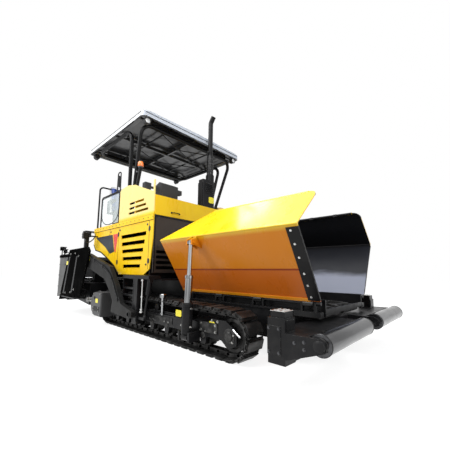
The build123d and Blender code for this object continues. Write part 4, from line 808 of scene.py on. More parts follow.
def round_part(tree, radius, depth, sides, middle, turn=(0, 0, 0)):
    """A short cylinder in a tree; turned by angles given in radians."""
    disc = add_node(tree, "GeometryNodeMeshCylinder", {"Vertices": sides})
    move = add_node(tree, "GeometryNodeTransform")
    move.inputs["Rotation"].default_value = turn
    feed(tree, (radius, disc.inputs["Radius"]), (depth, disc.inputs["Depth"]))
    join(tree, (disc.outputs[0], move.inputs[0]), (middle, move.inputs["Translation"]))
    return move.outputs[0]


def together(tree, *parts):
    """All parts as one geometry."""
    node = add_node(tree, "GeometryNodeJoinGeometry")
    for part in reversed(parts):
        join(tree, (part, node.inputs[0]))
    return node.outputs[0]


print("rule parts ready")


# %% Run a rule on its carrier
def grow(name, tree, carrier, values, material, body):
    """Run a rule on a carrier mesh and hand over the plain mesh that it leaves."""
    holder = bpy.data.objects.new(name + " carrier", carrier)
    bpy.context.collection.objects.link(holder)
    modifier = holder.modifiers.new(tree.name, "NODES")
    modifier.node_group = tree
    for item in tree.interface.items_tree:
        if item.in_out == "INPUT" and item.name in values:
            modifier[item.identifier] = values[item.name]
        if item.in_out == "INPUT" and item.name == "Finish":
            modifier[item.identifier] = material
    depsgraph = bpy.context.evaluated_depsgraph_get()
    mesh = bpy.data.meshes.new_from_object(holder.evaluated_get(depsgraph), depsgraph=depsgraph)
    mesh.name = name
    bpy.data.objects.remove(holder)
    for label in ("facing", "along"):
        if label in mesh.attributes:
            mesh.attributes.remove(mesh.attributes[label])
    mesh.shade_smooth()
    mesh.set_sharp_from_angle(angle=math.radians(35))
    return hand_over(name, mesh, body)


def carrier_of(places, facings=(), alongs=()):
    """Points with the direction each one faces and the direction it runs along."""
    mesh = bpy.data.meshes.new("carrier")
    mesh.from_pydata([tuple(p) for p in places], [], [])
    for label, rows in (("facing", facings), ("along", alongs)):
        if rows:
            attribute = mesh.attributes.new(label, "FLOAT_VECTOR", "POINT")
            attribute.data.foreach_set("vector", [c for row in rows for c in row])
    return mesh


print("carriers ready")


# %% Put a part on every point
def stored(tree, label):
    """A direction stored on a carrier's points."""
    node = add_node(tree, "GeometryNodeInputNamedAttribute", {"Name": label}, data_type="FLOAT_VECTOR")
    return node.outputs[0]


def put_on_points(tree, source, part):
    """Instance a part on every carrier point, its Z on "facing", turned about it by chance."""
    points = add_node(tree, "GeometryNodeMeshToPoints")
    place = add_node(tree, "GeometryNodeInstanceOnPoints")
    turn = add_node(tree, "FunctionNodeAlignRotationToVector", axis="Z")
    chance = add_node(tree, "FunctionNodeRandomValue", {"Seed": 7}, data_type="FLOAT")
    chance.inputs[3].default_value = math.tau / 6
    twist = add_node(tree, "FunctionNodeRotateRotation", rotation_space="LOCAL")
    join(tree, (stored(tree, "facing"), turn.inputs["Vector"]), (turn.outputs[0], twist.inputs[0]),
         (vector_of(tree, z=chance.outputs[1]), twist.inputs[1]),
         (twist.outputs[0], place.inputs["Rotation"]),
         (source["Geometry"], points.inputs["Mesh"]), (points.outputs[0], place.inputs["Points"]),
         (part, place.inputs["Instance"]))
    return place.outputs[0]


print("rule helpers ready")

# %% [markdown]
# ## Hexagon bolts
#
# Dozens of hexagon heads hold the wear strips, covers and blocks.  Each is a head on a washer,
# turned by chance as a spanner leaves it.  A rule puts one on every carrier point, so a row of
# bolts is only a row of places.

# %% Rule for bolts
def bolt_rule():
    """Hexagon head on a washer at every carrier point, turned by chance."""
    tree, source = new_rule("bolt rule", ("Across", "Height"))
    head_z = times(tree, source["Height"], 0.62)
    head = round_part(tree, times(tree, source["Across"], 0.5), source["Height"], 6,
                      vector_of(tree, z=head_z))
    washer_h = times(tree, source["Height"], 0.3)
    washer = round_part(tree, times(tree, source["Across"], 0.72), washer_h, 14, vector_of(tree))
    end_rule(tree, source, put_on_points(tree, source, together(tree, head, washer)))
    return tree


BOLT_RULE = bolt_rule()


def bolts(name, places, facing, across, body, material):
    """One hexagon bolt at each place, all facing one way or each its own way."""
    facings = facing if isinstance(facing, list) else [facing] * len(places)
    values = {"Across": across, "Height": 0.45 * across}
    return grow(name, BOLT_RULE, carrier_of(places, facings), values, material, body)


print("bolt rule ready")

# %% [markdown]
# ## Track shoes
#
# A paver's track is a chain of pinned links; each link carries a shoe, and each shoe a bolted pad
# that spares the road.  Shoe and pad are one dark colour here, so they share a finish.  The whole
# belt follows one rule: a closed path round idler and sprocket, divided evenly, with one shoe
# across it at every point.  So the track is the lesson's main rule-grown piece, and it stands for
# the plain loop.

# %% Path of a track
IDLER, SPROCKET = (2.310, 0.300), (-0.970, 0.330)
SHOES, SHOE_INSIDE = 50, 0.049
TRACK_MIDDLE, TRACK_WIDTH = 1.090, 0.320


def belt_path(inside, steps=24):
    """Closed (x, z) path round idler and sprocket, that far inside the pads' tips."""
    (ax, az), (bx, bz) = SPROCKET, IDLER
    slope = math.atan2(bz - az, bx - ax)
    lean = math.asin((az - bz) / math.hypot(bx - ax, bz - az))
    top, low = slope + math.pi / 2 - lean, slope - math.pi / 2 + lean
    path = []
    # (middle, radius over the pads, first angle, last angle)
    for (x, z), radius, first, last in ((IDLER, IDLER[1], low, top),
                                        (SPROCKET, SPROCKET[1], top, low + math.tau)):
        for i in range(steps + 1):
            angle = first + (last - first) * i / steps
            path.append((x + (radius - inside) * math.cos(angle), z + (radius - inside) * math.sin(angle)))
    return path


ring = belt_path(SHOE_INSIDE)
belt_length = sum(math.dist(a, b) for a, b in zip(ring, ring[1:] + ring[:1]))
print("track length", round(belt_length, 3))


# %% One shoe of the track
def shoe_parts(tree, wide, pitch, pad):
    """Plate with its lip, pad in two steps, two links, their pin and four bolts."""
    plate = box_part(tree, vector_of(tree, times(tree, pitch, 0.9), wide, 0.012), vector_of(tree, z=0.010))
    lip = box_part(tree, vector_of(tree, 0.016, wide, 0.022),
                   vector_of(tree, times(tree, pitch, -0.42), 0.0, 0.012))
    foot = box_part(
        tree, vector_of(tree, times(tree, pitch, 0.8), times(tree, wide, 0.9), times(tree, pad, 0.55)),
        vector_of(tree, z=times(tree, times(tree, pad, 0.27), 0.016, "ADD")))
    tread = box_part(
        tree, vector_of(tree, times(tree, pitch, 0.7), times(tree, wide, 0.86), times(tree, pad, 0.6)),
        vector_of(tree, z=times(tree, times(tree, pad, 0.7), 0.0215, "ADD")))
    parts = [plate, lip, foot, tread]
    for side in (-1, 1):
        parts.append(box_part(tree, vector_of(tree, times(tree, pitch, 0.98), 0.022, 0.046),
                              vector_of(tree, y=side * 0.045, z=-0.022)))
        parts.append(round_part(tree, 0.017, 0.13, 10, vector_of(tree, times(tree, pitch, 0.5), 0.0, -0.024),
                                (math.pi / 2, 0, 0)))
        for share in (-0.2, 0.2):
            where = vector_of(tree, times(tree, pitch, share), times(tree, wide, side * 0.475), 0.023)
            parts.append(round_part(tree, 0.011, 0.014, 6, where))
    return together(tree, *parts)


print("shoe ready")


# %% Rule for a track
def track_rule():
    """One shoe at every division of the path."""
    tree, source = new_rule("track rule", ("Shoes", "Width", "Pitch", "Pad height"))
    path = add_node(tree, "GeometryNodeMeshToCurve")
    divide = add_node(tree, "GeometryNodeResampleCurve")
    count = add_node(tree, "FunctionNodeFloatToInt")
    join(tree, (source["Geometry"], path.inputs[0]), (path.outputs[0], divide.inputs["Curve"]),
         (source["Shoes"], count.inputs[0]), (count.outputs[0], divide.inputs["Count"]))
    shoe = shoe_parts(tree, source["Width"], source["Pitch"], source["Pad height"])
    outward = add_node(tree, "ShaderNodeVectorMath", operation="CROSS_PRODUCT")
    outward.inputs[1].default_value = (0, 1, 0)
    flip = add_node(tree, "ShaderNodeVectorMath", operation="SCALE")
    flip.inputs["Scale"].default_value = -1.0
    turn = add_node(tree, "FunctionNodeAxesToRotation", primary_axis="Z", secondary_axis="X")
    place = add_node(tree, "GeometryNodeInstanceOnPoints")
    points = add_node(tree, "GeometryNodeCurveToPoints", mode="EVALUATED")
    join(tree, (divide.outputs[0], points.inputs["Curve"]),
         (points.outputs["Tangent"], outward.inputs[0]), (outward.outputs[0], flip.inputs[0]),
         (flip.outputs[0], turn.inputs[0]), (points.outputs["Tangent"], turn.inputs[1]),
         (points.outputs["Points"], place.inputs["Points"]), (shoe, place.inputs["Instance"]),
         (turn.outputs[0], place.inputs["Rotation"]))
    end_rule(tree, source, place.outputs[0])
    return tree


TRACK_RULE = track_rule()
print("track rule ready")


# %% Lay both tracks
def path_mesh(path, y):
    """Closed ring of edges through (x, z) points at one y."""
    mesh = bpy.data.meshes.new("belt path")
    count = len(path)
    mesh.from_pydata([(x, y, z) for x, z in path], [(i, (i + 1) % count) for i in range(count)], [])
    return mesh


for hand, side in SIDES:
    sizes = {"Shoes": SHOES, "Width": TRACK_WIDTH, "Pitch": belt_length / SHOES, "Pad height": 0.027}
    track = grow(f"track_shoes_{hand}", TRACK_RULE, path_mesh(ring, side * TRACK_MIDDLE), sizes,
                 TRACK_STEEL, "tractor")
    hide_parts(f"track_{hand}")
print("shoes", SHOES, "triangles", sum(len(p.vertices) - 2 for p in track.data.polygons))

# %% [markdown]
# ## Hopper wings
#
# The wing's front edge cuts into the heap, so a black wear strip is bolted over it.  An orange
# hem runs along the hinge, and small hooks on the rim take the tarpaulin.  The strip follows the
# wing's folded line, so it is drawn as that line with a thickness and not bent afterwards.

# %% Bolt on the wings' wear strips
WING_LINE = ((0.757, 0.735), (0.968, 1.088), (1.250, 1.530))     # hinge, crease, fold (y, z)
WING_RIM = (0.740, 1.980)
WING_SKIN = 0.0125                                               # sheet's outside over that line
WING_FRONT, WING_BACK = 3.220, 0.870
STRIP_WIDTH, STRIP_THICK = 0.135, 0.010


def mirrored(points, side):
    """(y, z) points drawn for the left, put on a side."""
    return [(side * y, z) for y, z in points]


def between(a, b, share):
    """Point that share of the way from a to b."""
    return tuple(p + (q - p) * share for p, q in zip(a, b))


for hand, side in SIDES:
    body = f"wing_{hand}"
    line = [between(WING_LINE[0], WING_LINE[1], 0.06), WING_LINE[1],
            between(WING_LINE[1], WING_LINE[2], 0.95)]
    shape = bmesh.new()
    prism(shape, mirrored(strip_line(line, WING_SKIN, STRIP_THICK), side), 0, WING_FRONT - STRIP_WIDTH,
          WING_FRONT + 0.004, 0.002)
    prism(shape, mirrored(strip_line(line, -0.004, WING_SKIN + STRIP_THICK), side), 0, WING_FRONT - 0.001,
          WING_FRONT + 0.005, 0.002)
    close(shape, f"wing_wear_strip_{hand}", body, BLACK)
    low_out = Vector((0, side * (line[1][1] - line[0][1]), line[0][0] - line[1][0])).normalized()
    up_out = Vector((0, side * (line[2][1] - line[1][1]), line[1][0] - line[2][0])).normalized()
    places, facings = [], []
    # (share up the strip's run, which run, its outward direction)
    for share, run, out in ((0.12, 0, low_out), (0.5, 0, low_out), (0.88, 0, low_out), (0.3, 1, up_out),
                            (0.62, 1, up_out), (0.93, 1, up_out)):
        y, z = between(line[run], line[run + 1], share)
        places.append(Vector((WING_FRONT - 0.085, side * y, z)) + out * (WING_SKIN + STRIP_THICK))
        facings.append(tuple(out))
    bolts(f"wing_strip_bolts_{hand}", places, facings, 0.018, body, BRIGHT_ZINC)
print("wear strips done")

# %% Make the wings' hems, hooks and creases
for hand, side in SIDES:
    body = f"wing_{hand}"
    shape = bmesh.new()
    foot = WING_LINE[0]
    hem = [between(foot, WING_LINE[1], 0.02), between(foot, WING_LINE[1], 0.115)]
    prism(shape, mirrored(strip_line(hem, WING_SKIN - 0.002, 0.010), side), 0, WING_BACK + 0.01,
          WING_FRONT - 0.11, 0.002)
    close(shape, f"wing_hem_{hand}", body, HEM_ORANGE)
    shape = bmesh.new()
    # tarpaulin hooks along the rim
    for x in (1.66, 2.06, 2.46, 2.86):
        y, z = WING_RIM[0] - 0.004, WING_RIM[1]
        slab(shape, (x - 0.03, side * (y - 0.024), z - 0.03), (x + 0.03, side * (y - 0.014), z + 0.016),
             0.003)
        tube(shape, [(x - 0.02, side * (y - 0.022), z - 0.018), (x - 0.02, side * (y - 0.052), z - 0.022),
                     (x + 0.02, side * (y - 0.052), z - 0.022), (x + 0.02, side * (y - 0.022), z - 0.018)],
             0.006)
    close(shape, f"wing_hooks_{hand}", body, BLACK)
    # thin dark strip along the lower panel's crease: painted shade of the fold
    shape = bmesh.new()
    crease = [between(WING_LINE[0], WING_LINE[1], 0.975), WING_LINE[1],
              between(WING_LINE[1], WING_LINE[2], 0.02)]
    prism(shape, mirrored(strip_line(crease, WING_SKIN - 0.001, 0.004), side), 0, WING_BACK + 0.02,
          WING_FRONT - 0.11, 0.0)
    close(shape, f"wing_crease_{hand}", body, CREASE_PAINTED_SHADE)
print("wing trim done")

# %% [markdown]
# ## Seams, latches and hinges of the side bodies
#
# The skins are separate pressed panels.  A dark gap shows between them, and quarter-turn latches
# and hinges hold the doors.  Gaps are made as narrow dark strips that stand 1.5 mm proud, which
# reads the same as a real gap and needs no cut in the frame's solids.

# %% Draw the side bodies' seams
BODY_SIDE, BAND_SIDE = 1.200, 1.212


def side_strip(shape, points, side, thick, width, level):
    """Flat band along (x, z) points on a body side, standing a little proud of level."""
    half = width / 2
    for (ax, az), (bx, bz) in zip(points, points[1:]):
        run = Vector((bx - ax, bz - az)).normalized()
        across = Vector((-run.y, run.x)) * half
        corners = [(ax + across.x, az + across.y), (bx + across.x, bz + across.y),
                   (bx - across.x, bz - across.y), (ax - across.x, az - across.y)]
        prism(shape, corners, 1, side * (level - 0.001), side * (level + thick))


for hand, side in SIDES:
    shape = bmesh.new()
    # (x, z) runs of the seams: under the band, over it, door edges
    for run in (((-1.98, 1.928), (0.535, 1.928)), ((-0.76, 2.024), (0.535, 2.024)),
                ((-0.735, 1.922), (-0.735, 1.20)), ((0.42, 1.922), (0.42, 1.08)),
                ((-1.16, 1.922), (-1.16, 1.36))):
        side_strip(shape, run, side, 0.0015, 0.009, BODY_SIDE)
    close(shape, f"body_seams_{hand}", "tractor", BLACK, smooth=False)
print("seams done")

# %% Make the side bodies' latches, hinges, arch edge and screws
for hand, side in SIDES:
    shape = bmesh.new()
    # quarter-turn latches, then hinges
    for x, z in ((0.36, 1.86), (0.36, 1.16), (-0.68, 1.86), (-1.10, 1.86)):
        turned(shape, [(0.0, 0.010), (0.015, 0.010), (0.019, 0.006), (0.021, 0.0)],
               (x, side * BODY_SIDE, z), (0, side, 0), 20)
        slab(shape, (x - 0.014, side * (BODY_SIDE + 0.008), z - 0.0035),
             (x + 0.014, side * (BODY_SIDE + 0.014), z + 0.0035), 0.001)
    for z in (1.22, 1.78):
        for x in (0.43, -0.745):
            turned(shape, [(0.0, -0.045), (0.009, -0.045), (0.009, 0.045), (0.0, 0.045)],
                   (x, side * (BODY_SIDE + 0.006), z), (0, 0, 1), 12)
            slab(shape, (x - 0.03, side * (BODY_SIDE - 0.001), z - 0.035),
                 (x + 0.03, side * (BODY_SIDE + 0.005), z + 0.035), 0.001)
    close(shape, f"body_latches_{hand}", "tractor", DARK_BOLT)
    # folded edge of the arch
    shape = bmesh.new()
    arch = [(-2.0, 1.640), (-1.870, 1.500), (-1.561, 1.440), (-1.240, 1.310), (-0.880, 1.140),
            (-0.659, 0.980)]
    side_strip(shape, [(x, z + 0.012) for x, z in arch], side, 0.004, 0.026, BODY_SIDE)
    close(shape, f"arch_edge_{hand}", "tractor", BLACK)
    # screws along the band
    screws = [(-1.94 + 0.155 * i, side * BAND_SIDE, 1.975) for i in range(17)]
    bolts(f"band_screws_{hand}", screws, (0, side, 0), 0.014, "tractor", DARK_BOLT)
print("body trim done")

# %% [markdown]
# ## Plain stripes
#
# A dark wedge and a red slanting stripe run into the louvres.  On the machine they are foil on
# paint.  Here each is a thin prism that stands 2.5 mm off the skin, more than foil does, so that
# the two surfaces never fight.  They carry no words.

# %% Make the stripes
def foil(name, colour, rough=(0.22, 0.34)):
    """Stuck-on foil: even colour with the faint cloud of print, and a soft gloss."""
    material, tree, shader = start(name)
    cloud = spread(tree, grain(tree, 3, 2), 0.3, 0.7)
    coat_with(tree, shader, tint(tree, cloud, colour, tuple(0.9 * c for c in colour)),
              spread(tree, grain(tree, 14, 4), 0.3, 0.7, *rough))
    preset(shader, {"Coat Weight": 0.06})
    skin_bump(tree, shader, grain(tree, 160, 2), 0.04, 0.001)
    return material


DARK_FOIL = foil("dark blue-grey foil", (0.014, 0.018, 0.028), (0.38, 0.5))
RED_FOIL = foil("red foil", (0.72, 0.045, 0.03))
YELLOW_FOIL = foil("yellow foil", (0.93, 0.80, 0.03))

for hand, side in SIDES:
    shape = bmesh.new()
    prism(shape, [(-1.90, 1.80), (-1.02, 1.80), (-0.90, 1.44), (-1.10, 1.40), (-1.36, 1.56)], 1,
          side * (BODY_SIDE - 0.001), side * (BODY_SIDE + 0.0025))
    close(shape, f"dark_wedge_{hand}", "tractor", DARK_FOIL, smooth=False)
    shape = bmesh.new()
    prism(shape, [(-0.99, 1.80), (-0.76, 1.80), (-0.84, 1.42), (-0.875, 1.42)], 1,
          side * (BODY_SIDE - 0.001), side * (BODY_SIDE + 0.0025))
    close(shape, f"red_stripe_{hand}", "tractor", RED_FOIL, smooth=False)
print("stripes done")

# %% [markdown]
# ## Blank plates
#
# Small yellow plates sit where such machines carry notes.  They are left blank: a thin plate
# with cut corners.

# %% Make the blank plates
def plate(shape, middle, across, up, size, thick=0.002):
    """Thin plate with cut corners, centred at a place, in the plane of two directions."""
    across, up = Vector(across).normalized(), Vector(up).normalized()
    out = across.cross(up)
    w, h = size[0] / 2, size[1] / 2
    c = 0.14 * min(size)
    ring = [(w - c, h), (-w + c, h), (-w, h - c), (-w, -h + c), (-w + c, -h), (w - c, -h), (w, -h + c),
            (w, h - c)]
    back = [shape.verts.new(Vector(middle) + across * u + up * v - out * 0.001) for u, v in ring]
    front = [shape.verts.new(Vector(middle) + across * u + up * v + out * thick) for u, v in ring]
    shape.faces.new(front)
    shape.faces.new(back[::-1])
    for i in range(8):
        j = (i + 1) % 8
        shape.faces.new((back[i], back[j], front[j], front[i]))


# (name, body, middle for the left, across, up, size)
BLANK_PLATES = (
    ("frame_plate_mid", "tractor", (1.34, 1.222, 0.455), (-1, 0, 0), (0, 0, 1), (0.13, 0.09)),
    ("frame_plate_front", "tractor", (2.02, 1.222, 0.37), (-1, 0, 0), (0, 0, 1), (0.10, 0.12)),
    ("cover_plate", "tractor", (-0.86, 1.502, 0.47), (-1, 0, 0), (0, 0, 1), (0.11, 0.08)),
    ("arm_plate", "screed", (-1.42, 1.502, 1.30), (-1, 0, 0), (0, 0, 1), (0.12, 0.09)),
    ("end_plate_label", "extension", (-2.62, 1.552, 1.22), (-1, 0, 0), (0, 0, 1), (0.12, 0.09)),
)
for hand, side in SIDES:
    for name, body, (x, y, z), across, up, size in BLANK_PLATES:
        shape = bmesh.new()
        where = (x, side * y, z)
        plate(shape, where, (-side, 0, 0), up, size)
        owner = f"{body}_{hand}" if body == "extension" else body
        close(shape, f"{name}_{hand}", owner, YELLOW_FOIL, smooth=False)
shape = bmesh.new()
plate(shape, (0.5115, 0.19, 2.55), (0, 1, 0), (0, 0, 1), (0.15, 0.13))
close(shape, "housing_plate", "tractor", YELLOW_FOIL, smooth=False)
print("blank plates", 2 * len(BLANK_PLATES) + 1)

# %% [markdown]
# ## Hood, panel and exhaust
#
# The hood's front panel is a plain sheet on screws, framed by a raised edge and marked by two
# pressed swages.  The stack leaves its housing through a guard, which is a tube with rows of
# slots.  Each slot is a small dark lozenge on the tube, and a pattern of them is a rule's work.

# %% Rule for slots and studs on a field
def stud_rule():
    """Raised lozenges in rows; every second one leans the other way."""
    tree, source = new_rule("stud rule", ("Length", "Width", "Height", "Lean"))
    long, wide, tall = source["Length"], source["Width"], source["Height"]
    base = box_part(tree, vector_of(tree, long, wide, tall), vector_of(tree, z=times(tree, tall, 0.5)))
    crest = box_part(tree, vector_of(tree, times(tree, long, 0.72), times(tree, wide, 0.5), tall),
                     vector_of(tree, z=tall))
    points = add_node(tree, "GeometryNodeMeshToPoints")
    turn = add_node(tree, "FunctionNodeAxesToRotation", primary_axis="Z", secondary_axis="X")
    twist = add_node(tree, "FunctionNodeRotateRotation", rotation_space="LOCAL")
    order = add_node(tree, "GeometryNodeInputIndex")
    swap = times(tree, times(tree, order.outputs[0], 2.0, "MODULO"), 2.0)
    lean = times(tree, source["Lean"], times(tree, swap, -1.0, "ADD"))
    place = add_node(tree, "GeometryNodeInstanceOnPoints")
    join(tree, (stored(tree, "facing"), turn.inputs[0]), (stored(tree, "along"), turn.inputs[1]),
         (turn.outputs[0], twist.inputs[0]), (vector_of(tree, z=lean), twist.inputs[1]),
         (source["Geometry"], points.inputs["Mesh"]), (points.outputs[0], place.inputs["Points"]),
         (together(tree, base, crest), place.inputs["Instance"]),
         (twist.outputs[0], place.inputs["Rotation"]))
    end_rule(tree, source, place.outputs[0])
    return tree


STUD_RULE = stud_rule()
STUD_LEAN = 0.785       # radians, an eighth of a turn


def studs(name, low, high, axis, side, pitch, size, body, material):
    """A rule-grown field of studs on a face of a box: axis is the face's direction, side its sign."""
    u, v = [a for a in range(3) if a != axis]
    # an odd number along v keeps neighbours leaning opposite ways
    counts = [max(1, int((high[a] - low[a]) / pitch)) for a in (u, v)]
    counts[1] += (counts[1] + 1) % 2
    facing, along = [0, 0, 0], [0, 0, 0]
    facing[axis], along[u] = side, 1
    places = []
    for i in range(counts[0]):
        for j in range(counts[1]):
            place = [0, 0, 0]
            place[axis] = high[axis] if side > 0 else low[axis]
            place[u] = low[u] + (high[u] - low[u]) * (i + 0.5) / counts[0]
            place[v] = low[v] + (high[v] - low[v]) * (j + 0.5) / counts[1]
            places.append(tuple(place))
    rows = len(places)
    values = {"Length": size[0], "Width": size[1], "Height": size[2], "Lean": STUD_LEAN}
    return grow(name, STUD_RULE, carrier_of(places, [tuple(facing)] * rows, [tuple(along)] * rows),
                values, material, body)


print("stud rule ready")

# %% [markdown]
# ### Panel, stack guard and housing cover
#
# Small flat work and rings: slabs, prisms and turned parts, each group one piece.

# %% Make the panel, the guard and the cover
PANEL_X = 0.546
screws = [(PANEL_X, y, z) for y in (-1.10, -0.66, -0.22, 0.22, 0.66, 1.10) for z in (1.97, 1.47)]
bolts("panel_screws", screws, (1, 0, 0), 0.022, "tractor", DARK_BOLT)
shape = bmesh.new()
# frame round the panel and two pressed swages
for low, high in (((0.544, -1.175, 1.985), (0.552, 1.175, 2.008)),
                  ((0.544, -1.18, 1.03), (0.552, -1.155, 2.0)), ((0.544, 1.155, 1.03), (0.552, 1.18, 2.0)),
                  ((0.544, -0.50, 1.50), (0.550, -0.485, 1.96)),
                  ((0.544, 0.485, 1.50), (0.550, 0.50, 1.96))):
    slab(shape, low, high, 0.002)
close(shape, "panel_frame", "tractor", BLACK)
shape = bmesh.new()
for side in (-1, 1):
    y = side * 0.75
    tube(shape, [(0.548, y - 0.09, 2.10), (0.585, y - 0.09, 2.10), (0.585, y + 0.09, 2.10),
                 (0.548, y + 0.09, 2.10)], 0.008)
    for offset in (-0.09, 0.09):
        turned(shape, [(0.0, 0.006), (0.014, 0.006), (0.017, 0.0)], (0.550, y + offset, 2.10), (1, 0, 0), 18)
close(shape, "hood_handles", "tractor", BLACK)

STACK = (0.430, 0.215)
shape = bmesh.new()
for z in (3.14, 3.20, 3.26):
    turned(shape, [(0.054, -0.006), (0.060, -0.006), (0.060, 0.006), (0.054, 0.006)], (*STACK, z), (0, 0, 1))
turned(shape, [(0.052, 0.0), (0.072, 0.0), (0.072, 0.42), (0.066, 0.43), (0.052, 0.43)], (*STACK, 3.125),
       (0, 0, 1), 36)
# clamp with its bolt
turned(shape, [(0.0525, 0.0), (0.061, 0.003), (0.061, 0.037), (0.0525, 0.04)], (*STACK, 3.62), (0, 0, 1))
slab(shape, (STACK[0] - 0.015, STACK[1] - 0.090, 3.625), (STACK[0] + 0.015, STACK[1] - 0.052, 3.655), 0.003)
close(shape, "stack_guard", "tractor", BLACK)
slots, outs, ups = [], [], []
for ring in range(7):
    for step in range(12):
        angle = math.tau * (step + 0.5 * (ring % 2)) / 12
        out = (math.cos(angle), math.sin(angle), 0)
        slots.append((STACK[0] + 0.0716 * out[0], STACK[1] + 0.0716 * out[1], 3.155 + 0.054 * ring))
        outs.append(out)
        ups.append((0, 0, 1))
grow("guard_slots", STUD_RULE, carrier_of(slots, outs, ups),
     {"Length": 0.032, "Width": 0.011, "Height": 0.0014, "Lean": 0.0}, OILED_STEEL, "tractor")
shape = bmesh.new()
# service cover and louvres on the housing's front
slab(shape, (0.509, -0.005, 2.68), (0.516, 0.25, 2.93), 0.003)
for i in range(5):
    z = 2.72 + 0.04 * i
    prism(shape, [(0.515, z), (0.530, z + 0.004), (0.515, z + 0.022)], 1, 0.02, 0.225, 0.001)
slab(shape, (0.36, -0.060, 2.40), (0.50, -0.044, 2.90), 0.004)
close(shape, "housing_cover", "tractor", BLACK)
print("hood and exhaust done")

# %% [markdown]
# ## Seats
#
# Each seat is a pair of foam cushions in a sewn vinyl cover.  A cushion is full in the middle and
# pulled in where its panels are sewn, which a bevelled box never shows.  So a slightly smaller
# block is remeshed, blown up as cloth under pressure, and held back so that it can't swell far.
# The piping and the seams come after, because remeshing would swallow them.

# %% Vinyl finish
def vinyl(name, colour, shade):
    """Grained seat vinyl: fine leather-like cells, broad creases and a dull shine where it is rubbed."""
    material, tree, shader = start(name)
    cloud = spread(tree, grain(tree, 6, 3), 0.35, 0.68)
    coat_with(tree, shader, tint(tree, cloud, colour, shade),
              spread(tree, grain(tree, 9, 4), 0.35, 0.7, 0.38, 0.58))
    cells = add_node(tree, "ShaderNodeTexVoronoi", {"Scale": 260.0}, feature="SMOOTH_F1")
    join(tree, (place_on(tree), cells.inputs["Vector"]))
    relief = times(tree, cells.outputs["Distance"], times(tree, grain(tree, 22, 4), 0.9), "ADD")
    skin_bump(tree, shader, relief, 0.28, 0.0016)
    return material


BLUE_VINYL = vinyl("blue seat vinyl", (0.020, 0.060, 0.30), (0.014, 0.042, 0.22))
DARK_VINYL = vinyl("dark seat vinyl", (0.020, 0.020, 0.024), (0.013, 0.013, 0.016))
print("vinyl", 2)

# %% [markdown]
# ### Blowing up a cushion
#
# The block starts 8 mm small all round.  Pressure pushes the cloth out, its own stiffness
# keeps the corners tight, and a cap on the motion keeps the swell inside the seat's space.

# %% Inflate one cushion
def flatten(holder):
    """Turn the evaluated object into its own plain mesh and drop the modifiers."""
    depsgraph = bpy.context.evaluated_depsgraph_get()
    plain = bpy.data.meshes.new_from_object(holder.evaluated_get(depsgraph), depsgraph=depsgraph)
    holder.modifiers.clear()
    holder.data = plain


def puffed(name, size, turn, middle, swell=0.024):
    """Cushion mesh: a rounded block, remeshed, under cloth pressure, capped, subdivided, in place."""
    shape = bmesh.new()
    half = [d / 2 - 0.008 for d in size]
    slab(shape, [-h for h in half], half, min(half) * 0.42)
    mesh = bpy.data.meshes.new(name)
    shape.to_mesh(mesh)
    shape.free()
    pad = bpy.data.objects.new(name, mesh)
    bpy.context.collection.objects.link(pad)
    remesh = pad.modifiers.new("even skin", "REMESH")
    remesh.mode, remesh.voxel_size = "VOXEL", 0.008
    flatten(pad)
    rest = [vert.co.copy() for vert in pad.data.vertices]
    cloth = pad.modifiers.new("air", "CLOTH")
    cloth.settings.use_pressure, cloth.settings.uniform_pressure_force = True, 4.0
    cloth.settings.effector_weights.gravity = 0.0
    cloth.settings.quality, cloth.settings.mass = 4, 0.4
    cloth.point_cache.frame_start, cloth.point_cache.frame_end = 1, 20
    scene = bpy.context.scene
    for step in range(1, 21):
        scene.frame_set(step)
    flatten(pad)
    for vert, old in zip(pad.data.vertices, rest):
        motion = vert.co - old
        if motion.length > swell:
            vert.co = old + motion * (swell / motion.length)
    scene.frame_set(1)
    smooth = pad.modifiers.new("finer skin", "SUBSURF")
    smooth.levels = smooth.render_levels = 1
    flatten(pad)
    result = pad.data
    bpy.data.objects.remove(pad)
    result.transform(Matrix.Translation(middle) @ turn)
    result.shade_smooth()
    return result


print("cushion tool ready")


# %% Pipe a cushion's edge
def piping(shape, size, turn, middle, level, inset=0.012):
    """Sewn cord round a cushion at one height of its side."""
    w, d = size[0] / 2 - inset, size[1] / 2 - inset
    ring = []
    for sx, sy, first in ((1, 1, 0), (-1, 1, 1), (-1, -1, 0), (1, -1, 1)):
        near, far = (w * sx, (d - 0.06) * sy), ((w - 0.06) * sx, d * sy)
        corner = [near, (w * sx, d * sy), far]
        ring += corner if first == 0 else corner[::-1]
    place = Matrix.Translation(middle) @ turn
    tube(shape, [place @ Vector((x, y, level)) for x, y in ring], 0.0045, closed=True, sides=2)


print("piping tool ready")

# %% Make the four cushions
SEAT_X, SEAT_Y, SEAT_TOP = -1.45, 0.80, 2.39
LEAN = Matrix.Rotation(math.radians(-10), 4, "Y")
UPRIGHT = LEAN @ Matrix.Rotation(math.radians(90), 4, "Y")
# (name, size, turn, middle for the left)
CUSHIONS = (
    ("cushion", (0.41, 0.46, 0.125), Matrix.Identity(4), (SEAT_X + 0.028, SEAT_Y, SEAT_TOP + 0.062)),
    ("backrest", (0.60, 0.44, 0.115), UPRIGHT, (SEAT_X - 0.222, SEAT_Y, SEAT_TOP + 0.352)),
)
for hand, side in SIDES:
    for name, size, turn, (x, y, z) in CUSHIONS:
        middle = Vector((x, side * y, z))
        mesh = puffed(f"seat_{name}_{hand}", size, turn, middle)
        cushion = hand_over(f"seat_{name}_{hand}", mesh, "tractor", BLUE_VINYL)
        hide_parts("seat_pads")
        shape = bmesh.new()
        top = size[2] / 2
        piping(shape, size, turn, middle, top - 0.022)
        piping(shape, size, turn, middle, 0.022 - top)
        close(shape, f"seat_{name}_piping_{hand}", "tractor", DARK_VINYL)
print("cushions", 4)

